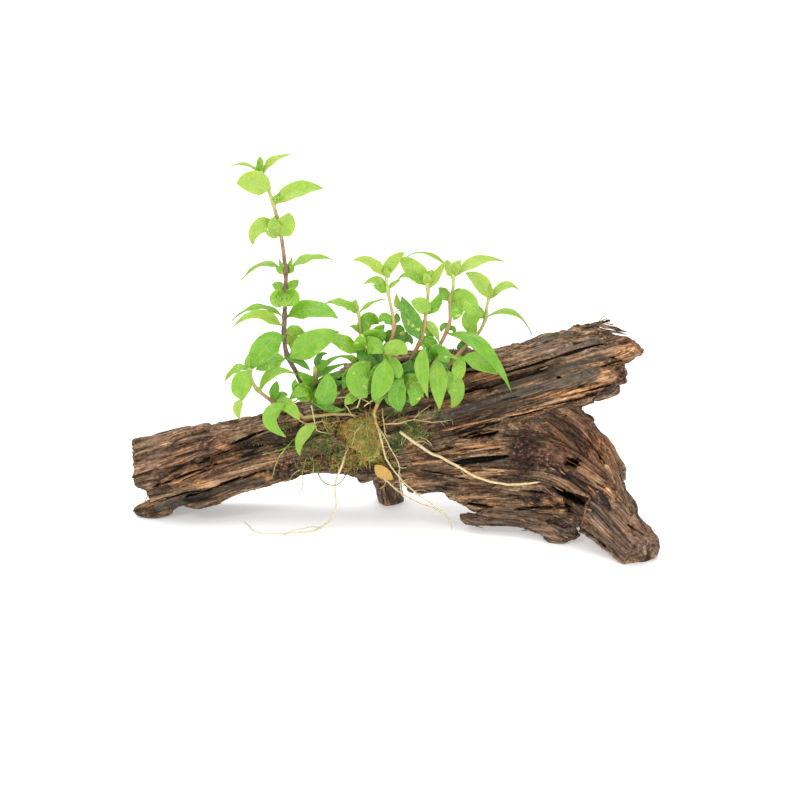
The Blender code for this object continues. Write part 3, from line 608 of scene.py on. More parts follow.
def weather(points, normals, grain):
    """How far each point rises or sinks in millimetres, and how crumbled, fresh and slick it is."""
    across, down = pixels_of(points)
    facing = rise(-(normals @ AHEAD), -0.15, 0.15)
    far_side = drift(points / (16 * MM), 31)
    crumbled = np.maximum(patch(across, down, CRUMBLED) * facing, rise(far_side, 0.3, 0.6) * (1 - facing))
    slick = np.maximum(strip(across, down, SLICK) * facing,
                       rise(drift(grain * RIDGE * 0.7, 33), 0.30, 0.75) * 0.8 * (1 - facing))
    slick *= 1 - crumbled
    fresh = np.maximum(patch(across, down, FRESH) * facing,
                       rise(drift(points / (11 * MM), 32), 0.25, 0.6) * (1 - 0.6 * facing))
    bent = grain + 1.2 * MM * sway(grain / (18 * MM), 41)
    slat, slat_edge = bundles(bent * SLAT, 50)
    lath, lath_edge = bundles(bent * LATH, 60)
    ridge = drift(bent * RIDGE, 70)
    fibre = drift(grain * FIBRE, 71) * 0.7 + drift(grain * FIBRE * 0.5, 72) * 0.6
    lumps = drift(points / CRUMB, 73) * 0.65 + drift(points / GRIT, 74) * 0.35
    rough = (1 - 0.88 * slick) * (1 - 0.5 * crumbled)
    rise_mm = rough * (
        1.5 * (slat - 0.5) - 0.5 * (1 - rise(slat_edge, 0.0, 0.16))
        + 0.85 * (lath - 0.5) - 0.28 * (1 - rise(lath_edge, 0.0, 0.2)) + 0.35 * ridge + 0.28 * fibre
    )
    rise_mm += crumbled * 1.1 * lumps + slick * 0.06 * fibre
    return rise_mm, crumbled, fresh, slick


print("search trees", len(WOOD_SOLIDS))

# %% Pieces of driftwood
def split_depth(points, normals):
    """How far back the splits are cut at each point, in millimetres."""
    across, down = pixels_of(points)
    facing = rise(-(normals @ AHEAD), 0.0, 0.3)
    wander = drift(points / (4 * MM), 80)
    deep = np.zeros(len(points))
    for start, end, wide, depth in SPLITS:
        away, share = along_split(across, down, start, end)
        taper = np.minimum(rise(share, -0.02, 0.25), 1 - rise(share, 0.7, 1.04))
        near = 1 - rise(away / (wide * (0.75 + 0.35 * wander) * (0.35 + 0.65 * taper)), 0.5, 1.15)
        deep = np.maximum(deep, near * depth)
    return deep * facing


def reach_in(piece, node_name):
    """Lengthens the piece where it was cut from a neighbour, so that no joint shows between them."""
    push = np.zeros((len(piece.data.vertices), 3))
    for other, tree in WOOD_SOLIDS.items():
        for face in piece.data.polygons:
            _, normal, _, away = tree.find_nearest(face.center)
            if other != node_name and away < CUT_GAP and normal.dot(face.normal) < -0.85:
                push[list(face.vertices)] += np.array(face.normal)
    push /= np.maximum(np.linalg.norm(push, axis=1), 1e-9)[:, None]
    move_points(piece.data, points_of(piece.data) + push * REACH_IN)


def weathered(node_name):
    """The finished surface of one piece of the driftwood."""
    piece = merged_copy(node_name, node_name.replace("driftwood", "wood"))
    reach_in(piece, node_name)
    modified(piece, "DISPLACE", strength=SWELL, mid_level=0.0)
    modified(piece, "REMESH", mode="VOXEL", voxel_size=SKIN[node_name] * MM)
    modified(piece, "SMOOTH", factor=0.5, iterations=SMOOTHINGS)
    mesh = piece.data
    points, normals = shifted(points_of(mesh), SHIFTS), points_of(mesh, "normal")
    grain = grain_at(points, GRAIN_OF_NODE[node_name])
    rise_mm, crumbled, fresh, slick = weather(points, normals, grain)
    rise_mm *= CALM.get(node_name, 1.0)
    deep = split_depth(points, normals)
    off_ground = rise(points[:, 2], 0.2 * MM, 2.0 * MM)
    moved = points + normals * (rise_mm * off_ground * MM)[:, None] + AHEAD * (deep * MM)[:, None]
    moved[:, 2] = np.maximum(moved[:, 2], GROUND_GAP)
    move_points(mesh, moved)
    note(mesh, "grain", grain / MM)
    # How high each point stands, less the depth of its split: from it the material paints shade into the low
    # points and a little light onto the high ones.
    note(mesh, "lift", np.clip(0.5 + rise_mm * 0.28 - deep * 0.16, 0, 1))
    note(mesh, "crumbled", crumbled)
    note(mesh, "fresh", fresh * (1 - rise(deep, 0.3, 1.5)))
    note(mesh, "slick", slick)
    note(mesh, "dusty", patch(*pixels_of(points), DUSTY))
    note(mesh, "stain_and_shade", stain_and_shade_at(*pixels_of(points)))
    only(piece)
    bpy.ops.object.shade_smooth()
    print(piece.name, len(mesh.polygons), "faces, rises", round(rise_mm.min(), 1), round(rise_mm.max(), 1))
    return piece


wood_pieces = [weathered(node_name) for node_name in GRAIN_OF_NODE]
print("wood pieces", len(wood_pieces))

# %% [markdown]
# Wet driftwood is brown on its slats and orange where it was torn not long ago, and painted shade
# makes its hollows nearly black. The material reads the grain that was stored with each point, so
# its streaks follow every bend. Node trees grow long when they are written link by link, so a few
# words are defined first: each of them adds a node to the tree that its inputs belong to.

# %% Words for materials
def feed(value, socket):
    """Sets a socket to a number or a colour, or links it to the output of another node."""
    if hasattr(value, "is_output"):
        value.id_data.links.new(value, socket)
    else:
        socket.default_value = (*value, 1) if isinstance(value, tuple) else value


def beside(kind, *values):
    """A new node in the tree that the outputs among these values belong to."""
    tree = next(value.id_data for value in values if hasattr(value, "is_output"))
    return tree.nodes.new("ShaderNode" + kind)


def maths(operation, first, second=None, clamp=False):
    """A Math node; its values are numbers or outputs of other nodes."""
    made = beside("Math", first, second)
    made.operation = operation
    made.use_clamp = clamp
    feed(first, made.inputs[0])
    if second is not None:
        feed(second, made.inputs[1])
    return made.outputs[0]


def product(first, second):
    """Two values multiplied."""
    return maths("MULTIPLY", first, second)


def total(first, *others, clamp=False):
    """The sum of some values, kept from 0 to 1 with clamp."""
    for other in others:
        first = maths("ADD", first, other, clamp)
    return first


def less(first, second):
    """The first value less the second."""
    return maths("SUBTRACT", first, second)


def swing(value, reach):
    """A value from 0 to 1 made to swing round nothing, as far as that reach in all."""
    return product(less(value, 0.5), reach)


def mixed(share, first, second, blend="MIX"):
    """A mix of two colours; all three values are plain or outputs of other nodes."""
    made = beside("Mix", share, first, second)
    made.data_type = "RGBA"
    made.blend_type = blend
    for number, value in ((0, share), (6, first), (7, second)):
        feed(value, made.inputs[number])
    return made.outputs[2]


def dyed(colour, dye):
    """A colour multiplied by another one, or by a shade of grey."""
    return mixed(1.0, colour, dye, "MULTIPLY")


def ramp(value, stops):
    """A colour ramp over the value, its stops as pairs of place and colour or grey."""
    made = beside("ValToRGB", value)
    feed(value, made.inputs[0])
    while len(made.color_ramp.elements) < len(stops):
        made.color_ramp.elements.new(0.5)
    for element, (place, colour) in zip(made.color_ramp.elements, stops):
        element.position = place
        element.color = (*colour, 1) if isinstance(colour, tuple) else (colour, colour, colour, 1)
    return made.outputs[0]


def stored(tree, name, kind="Fac"):
    """What was stored under this name for each point of the mesh."""
    read = tree.nodes.new("ShaderNodeAttribute")
    read.attribute_name = name
    return read.outputs[kind]


def bumped(shader, height, strength, distance):
    """Relief from a height, up to that distance in metres."""
    bump = beside("Bump", height)
    bump.inputs["Strength"].default_value = strength
    bump.inputs["Distance"].default_value = distance
    feed(height, bump.inputs["Height"])
    feed(bump.outputs[0], shader.inputs["Normal"])


def new_look(name, roughness, **constants):
    """A material with its Principled shader; the constants are set straight on the sockets."""
    look = bpy.data.materials.new(name)
    look.use_nodes = True
    shader = look.node_tree.nodes["Principled BSDF"]
    shader.inputs["Roughness"].default_value = roughness
    for socket, value in constants.items():
        shader.inputs[socket.replace("_", " ")].default_value = value
    return look, look.node_tree, shader


print("words for materials are ready")

# %% [markdown]
# Streaks, blotches and relief are used by wood, leaves, stems, roots and moss alike, so they are a
# node group of their own. Streaks are noise in a space that is stretched one way, and blotches are
# noise in an even one.

# %% A node group for streaks and blotches
def noise(tree, place, detail, roughness, scale=1.0):
    """The value of a Noise Texture at that place."""
    made = tree.nodes.new("ShaderNodeTexNoise")
    feed(place, made.inputs["Vector"])
    feed(scale, made.inputs["Scale"])
    made.inputs["Detail"].default_value = detail
    made.inputs["Roughness"].default_value = roughness
    return made.outputs["Fac"]


def streaks_group():
    """Streaks in a stretched space and blotches in an even one, both from 0 to 1."""
    made = bpy.data.node_groups.new("streaks_and_blotches", "ShaderNodeTree")
    for socket, kind in (("Place", "Vector"), ("Stretch", "Vector"), ("Blotch Size", "Float")):
        made.interface.new_socket(socket, in_out="INPUT", socket_type="NodeSocket" + kind)
    for socket in ("Streak", "Blotch", "Height"):
        made.interface.new_socket(socket, in_out="OUTPUT", socket_type="NodeSocketFloat")
    given, out = made.nodes.new("NodeGroupInput").outputs, made.nodes.new("NodeGroupOutput").inputs
    scaled = made.nodes.new("ShaderNodeVectorMath")
    scaled.operation = "MULTIPLY"
    feed(given["Place"], scaled.inputs[0])
    feed(given["Stretch"], scaled.inputs[1])
    streak = noise(made, scaled.outputs[0], 5.0, 0.62)
    fine = noise(made, scaled.outputs[0], 3.0, 0.6, 3.1)
    feed(streak, out["Streak"])
    feed(noise(made, given["Place"], 4.0, 0.6, given["Blotch Size"]), out["Blotch"])
    feed(total(streak, product(fine, 0.5)), out["Height"])
    return made


STREAKS = streaks_group()


def streaks_in(place, stretch, blotch_size):
    """The group's outputs at that place, with its own stretch and size of blotch."""
    used = beside("Group", place)
    used.node_tree = STREAKS
    feed(place, used.inputs["Place"])
    used.inputs["Stretch"].default_value = stretch
    used.inputs["Blotch Size"].default_value = blotch_size
    return used.outputs


def marks_in(tree, stretch, blotch_size):
    """Streaks and blotches laid out on the piece's own coordinates."""
    place = tree.nodes.new("ShaderNodeTexCoord").outputs["Object"]
    return streaks_in(place, stretch, blotch_size)


print("group with", len(STREAKS.nodes), "nodes")

# %% [markdown]
# The wood's colour comes from one tone that is mixed from fine and broad streaks. Five ramps turn
# it into sound, torn, worn, rotted and dusty wood, and what was stored with the points says which
# of them shows where. Painted shade darkens the cracks and hollows last, a little painted light
# lifts the highest ridges, and a thin coat makes wet spots shine.

# %% The look of wet driftwood
def driftwood_look():
    """Streaked brown wood, torn, worn, rotted or dusty where its points say so."""
    look, tree, shader = new_look("wet_driftwood", 0.5, Specular_IOR_Level=0.22, Coat_Roughness=0.14)
    grain = stored(tree, "grain", "Vector")
    fine = streaks_in(grain, (0.060, 1.5, 1.5), 0.75)
    broad = streaks_in(grain, (0.016, 0.30, 0.30), 0.12)
    fresh, slick = stored(tree, "fresh"), stored(tree, "slick")
    tone = total(product(fine["Streak"], 0.52), product(broad["Streak"], 0.27),
                 product(fine["Blotch"], 0.21))
    sound = ramp(tone, [(0.37, (0.028, 0.014, 0.007)), (0.45, (0.110, 0.060, 0.030)),
                        (0.51, (0.250, 0.145, 0.074)), (0.57, (0.400, 0.255, 0.142)),
                        (0.65, (0.640, 0.470, 0.300))])
    torn = ramp(tone, [(0.37, (0.110, 0.036, 0.012)), (0.46, (0.340, 0.140, 0.050)),
                       (0.54, (0.620, 0.320, 0.140)), (0.65, (0.860, 0.620, 0.390))])
    worn = ramp(tone, [(0.38, (0.028, 0.021, 0.014)), (0.50, (0.090, 0.070, 0.048)),
                       (0.62, (0.200, 0.162, 0.120))])
    rotted = ramp(fine["Blotch"], [(0.38, (0.006, 0.003, 0.002)), (0.50, (0.070, 0.026, 0.013)),
                                   (0.62, (0.200, 0.086, 0.044)), (0.72, (0.560, 0.390, 0.270))])
    dusty = ramp(tone, [(0.37, (0.075, 0.044, 0.026)), (0.50, (0.225, 0.150, 0.100)),
                        (0.63, (0.420, 0.310, 0.220))])
    warm = product(fresh, ramp(broad["Blotch"], [(0.38, 0.35), (0.52, 1.0)]))
    rot = maths("MULTIPLY", stored(tree, "crumbled"), less(0.95, fresh), clamp=True)
    colour = mixed(warm, sound, torn)
    colour = mixed(rot, colour, rotted)
    colour = mixed(product(slick, 0.9), colour, worn)
    colour = mixed(product(stored(tree, "dusty"), 0.75), colour, dusty)
    # Painted shade: thin dark lines along the broad streaks stand for the shade inside splits between
    # fibres, and the same lines also feed the bump.
    off_crack = maths("ABSOLUTE", less(broad["Streak"], 0.5))
    crack_shade = ramp(off_crack, [(0.0, 0.25), (0.010, 0.45), (0.026, 1.0)])
    colour = mixed(less(1.0, slick), colour, dyed(colour, crack_shade))
    # Painted shade in the hollows and splits, and painted light on the highest ridges.
    painted_relief_shade = ramp(stored(tree, "lift"), [(0.10, 0.10), (0.32, 0.48), (0.50, 0.92), (0.85, 1.2)])
    colour = dyed(colour, painted_relief_shade)
    # Stains, with painted shade on the underside of the left limb.
    feed(dyed(colour, stored(tree, "stain_and_shade", "Vector")), shader.inputs["Base Color"])
    wet = ramp(broad["Blotch"], [(0.36, 0.34), (0.62, 0.66)])
    feed(mixed(slick, wet, (0.28, 0.28, 0.28)), shader.inputs["Roughness"])
    feed(ramp(fine["Blotch"], [(0.54, 0.0), (0.66, 0.6)]), shader.inputs["Coat Weight"])
    bumped(shader, total(fine["Height"], product(crack_shade, 0.5)), 0.9, 0.45 * MM)
    return look


WET_DRIFTWOOD = driftwood_look()
for piece, node_name in zip(wood_pieces, GRAIN_OF_NODE):
    finished(piece, WET_DRIFTWOOD, [node_name])
print("look of the wood has", len(WET_DRIFTWOOD.node_tree.nodes), "nodes")

# %% [markdown]
# Torn wood ends in slivers, and hair-fine ones stand up all over it. They could be particles, but
# hair can't be kept as a solid. So one slat of a few faces is copied to each place: to the ends
# and rims where the picture shows splinters, and by chance to many places along the grain.

# %% Sliver blank
def copies_as_one(name, shapes, faces):
    """One object of many copies of a blank, each with its own points."""
    size = len(shapes[0])
    mesh = bpy.data.meshes.new(name)
    mesh.from_pydata(
        np.concatenate(shapes).tolist(), [],
        [[start + corner for corner in face]
         for start in range(0, len(shapes) * size, size) for face in faces],
    )
    mesh.update()
    return linked_object(name, mesh)


def thick_grid(along, across):
    """A square grid made into a closed sheet, as an object to take a blank from."""
    bpy.ops.object.select_all(action="DESELECT")
    bpy.ops.mesh.primitive_grid_add(x_subdivisions=along, y_subdivisions=across, size=1)
    grid = bpy.context.active_object
    modified(grid, "SOLIDIFY", thickness=1.0, offset=0.0)
    return grid


sliver_grid = thick_grid(6, 2)
sliver_points = points_of(sliver_grid.data) * (1, 2, 2) + (0.5, 0, 0)
sliver_faces = [list(face.vertices) for face in sliver_grid.data.polygons]
bpy.data.objects.remove(sliver_grid)
print("sliver blank", len(sliver_faces), "faces")

# %% Placed slivers
# Foot and tip as pixels and millimetres back (a place without the last lies on the wood), width
# and thickness in millimetres, how far the tip stands off, and how fresh the wood is.
SLIVERS = [
    ((594, 323, 13), (627.5, 332, 11), 2.0, 1.1, 0, 0.0),
    ((594, 328, 12), (627, 334.5, 9), 1.6, 1.0, 0, 0.05),
    ((588, 333, 13), (622.5, 338, 12), 1.6, 1.0, 0, 0.0),
    ((597, 323, 14), (609, 317.5, 14), 0.6, 0.4, 0, 0.3),
    ((599, 321, 14), (606, 314.5, 15), 0.5, 0.4, 0, 0.4),
    ((604, 323, 13), (617, 325.5, 13), 0.6, 0.5, 0, 0.3),
    ((590, 330, 16), (614, 331, 17), 1.2, 0.8, 0, 0.2), ((594, 336, 14), (606, 340, 14), 0.8, 0.6, 0, 0.3),
    ((161, 485), (214, 464), 3.0, 1.5, 0.8, 0.9), ((178, 487), (208, 475), 1.3, 0.9, 0.3, 0.6),
    ((270, 479), (253, 491.5, 8), 0.9, 0.6, 0, 0.1), ((266, 477), (204, 500), 0.5, 0.4, 0.2, 0.5),
    ((272, 477), (254, 474), 0.8, 0.5, 0.2, 1.0), ((148, 495), (144, 503, 14), 0.4, 0.3, 0, 0.1),
    ((218, 425), (266, 414), 1.2, 0.8, 0.4, 0.3), ((160, 470), (196, 456), 0.7, 0.5, 0.2, 0.5),
    ((522, 345), (560, 336), 1.6, 1.0, 0.4, 0.6), ((516, 349), (535, 346), 2.0, 1.4, 0.6, 0.5),
    ((557, 397), (615, 380), 1.4, 1.0, 0.6, 1.0), ((548, 401), (602, 389), 1.0, 0.8, 0.5, 1.0),
    ((500, 417), (566, 403), 1.2, 0.8, 0.4, 0.9), ((441, 431), (500, 417), 1.1, 0.8, 0.3, 0.8),
    ((442, 455), (506, 446), 1.2, 0.8, 0.5, 0.7), ((452, 468), (508, 470), 1.0, 0.7, 0.4, 0.7),
    ((536, 496), (563, 498.5, -16), 1.0, 0.6, 0, 0.8), ((538, 501), (565, 509, -15), 1.0, 0.6, 0, 0.8),
    ((540, 504), (561, 503, -17), 0.8, 0.5, 0, 0.9), ((560, 524), (585, 519, -18), 0.9, 0.5, 0, 1.0),
    ((556, 520), (568, 512, -17), 0.8, 0.5, 0, 1.0), ((562, 526), (588, 523, -18), 0.8, 0.5, 0, 0.9),
    ((478, 385), (444, 395), 0.9, 0.6, 0.3, 0.9), ((600, 352), (636, 345), 1.0, 0.8, 0.4, 1.0),
    ((602, 372), (625, 366), 1.0, 0.8, 0.4, 1.0), ((590, 385), (624, 377), 1.0, 0.8, 0.4, 0.9),
    ((586, 420), (612, 456), 0.8, 0.6, 0.3, 0.8), ((578, 424), (606, 462), 0.7, 0.5, 0.3, 0.9),
    ((604, 470), (628, 508), 0.8, 0.6, 0.3, 0.7), ((520, 440), (500, 450), 0.7, 0.5, 0.6, 0.9),
    ((505, 410), (499, 433), 0.35, 0.3, 0.8, 1.0), ((525, 404), (518, 415), 0.25, 0.2, 0.6, 1.0),
]
WOOD_TREE = search_tree([piece.data for piece in wood_pieces])
MISSED_BACK = 10


def on_wood(place, sunk):
    """A place at its depth or, where it has none, a little inside the wood's front."""
    if len(place) == 3:
        return seen(*place)
    line = unit(sight_line(*place))
    far = WOOD_TREE.ray_cast(Vector(EYE), Vector(line))[3]
    return seen(*place, MISSED_BACK) if far is None else EYE + line * (far + sunk)


def laid_sliver(foot, tip, face, width, thick, off, chance):
    """The points of one slat from foot to tip, ragged and narrowing to its tip."""
    share, aside, above = sliver_points.T[:, :, None]
    ahead = unit(tip - foot)
    side = unit(np.cross(face, ahead))
    ragged = 1 + 0.35 * np.sin(share * chance.uniform(5, 14) + chance.uniform(0, 6) + aside)
    slim = (0.55 + 0.45 * np.minimum(1, share * 4)) * (1 - 0.85 * share**3) * ragged
    bow = off * share**2 + 0.15 * np.sin(3.1 * share)
    return (foot + (tip - foot) * share + side * (aside * width / 2 * slim * MM)
            + np.cross(ahead, side) * ((above * thick / 2 * slim + bow) * MM))


chance = np.random.default_rng(55)
sliver_rows = []
for foot, tip, width, thick, off, fresh in SLIVERS:
    start, end = on_wood(foot, 0.4 * MM), on_wood(tip, 0.1 * MM)
    sliver_rows.append((laid_sliver(start, end, -AHEAD, width, thick, off, chance), fresh))
print("placed slivers", len(sliver_rows))

# %% Slivers by chance
LOOSE_SLIVERS = 1000
SHARE_OF_PIECE = (0.34, 0.30, 0.28, 0.06, 0.01, 0.01)
STAND_OFF = 1.6 * MM
STEEPEST = 0.45
SLIVER_LIFT = 0.62
BARE_SPOTS = [(455, 501, 18), (636, 505, 12), (588, 322, 12), (134, 508, 12)]
for _ in range(LOOSE_SLIVERS):
    piece = wood_pieces[chance.choice(len(wood_pieces), p=SHARE_OF_PIECE)]
    vertex = piece.data.vertices[chance.integers(len(piece.data.vertices))]
    place, face = np.array(vertex.co), np.array(vertex.normal)
    if place[2] < 2 * MM or piece.data.attributes["slick"].data[vertex.index].value > 0.3:
        continue
    across, down = pixels_of(place[None])
    if any((across[0] - x) ** 2 + (down[0] - y) ** 2 < reach**2 for x, y, reach in BARE_SPOTS):
        continue
    line = grain_direction(place, GRAIN_OF_NODE[piece.name.replace("wood", "driftwood")])
    if abs(line @ face) > STEEPEST:
        continue
    line = line + chance.normal(size=3) * 0.12
    ahead = chance.choice((-1, 1)) * unit(line - face * (line @ face) * 0.85)
    long = chance.uniform(2.5, 9.0) * MM
    shape = laid_sliver(place - face * 0.25 * MM, place + ahead * long, face, chance.uniform(0.3, 0.9),
                        chance.uniform(0.2, 0.5), chance.uniform(-0.1, 0.5), chance)
    fresh = chance.uniform(0.0, 1.0)
    if WOOD_TREE.find_nearest(Vector(place + ahead * long))[3] < STAND_OFF:
        sliver_rows.append((shape, fresh))

shapes = np.stack([shape for shape, _ in sliver_rows])
shapes[:, :, 2] = np.maximum(shapes[:, :, 2], GROUND_GAP)
slivers = copies_as_one("wood_slivers", shapes, sliver_faces)
shapes = shapes.reshape(-1, 3)
note(slivers.data, "grain", grain_at(shapes, ["limb", "leg", "prong"]) / MM)
note(slivers.data, "fresh", np.repeat([fresh for _, fresh in sliver_rows], len(sliver_points)))
note(slivers.data, "stain_and_shade", stain_and_shade_at(*pixels_of(shapes)))
# A middle lift leaves the slivers nearly untouched by the painted relief shade.
note_all(slivers.data, "lift", SLIVER_LIFT)
for name in ("crumbled", "slick", "dusty"):
    note_all(slivers.data, name, 0.0)
finished(slivers, WET_DRIFTWOOD)
print("slivers", len(sliver_rows), "with", len(slivers.data.polygons), "faces")

# %% [markdown]
# Each shoot is written as its course, from the tip down to where it roots, its thickness at both
# ends in millimetres, and its smallest leaves and buds, which are fused to the stem's solid. Each
# of those has a foot, a middle and a tip, a width in millimetres, a turn in degrees and an age.

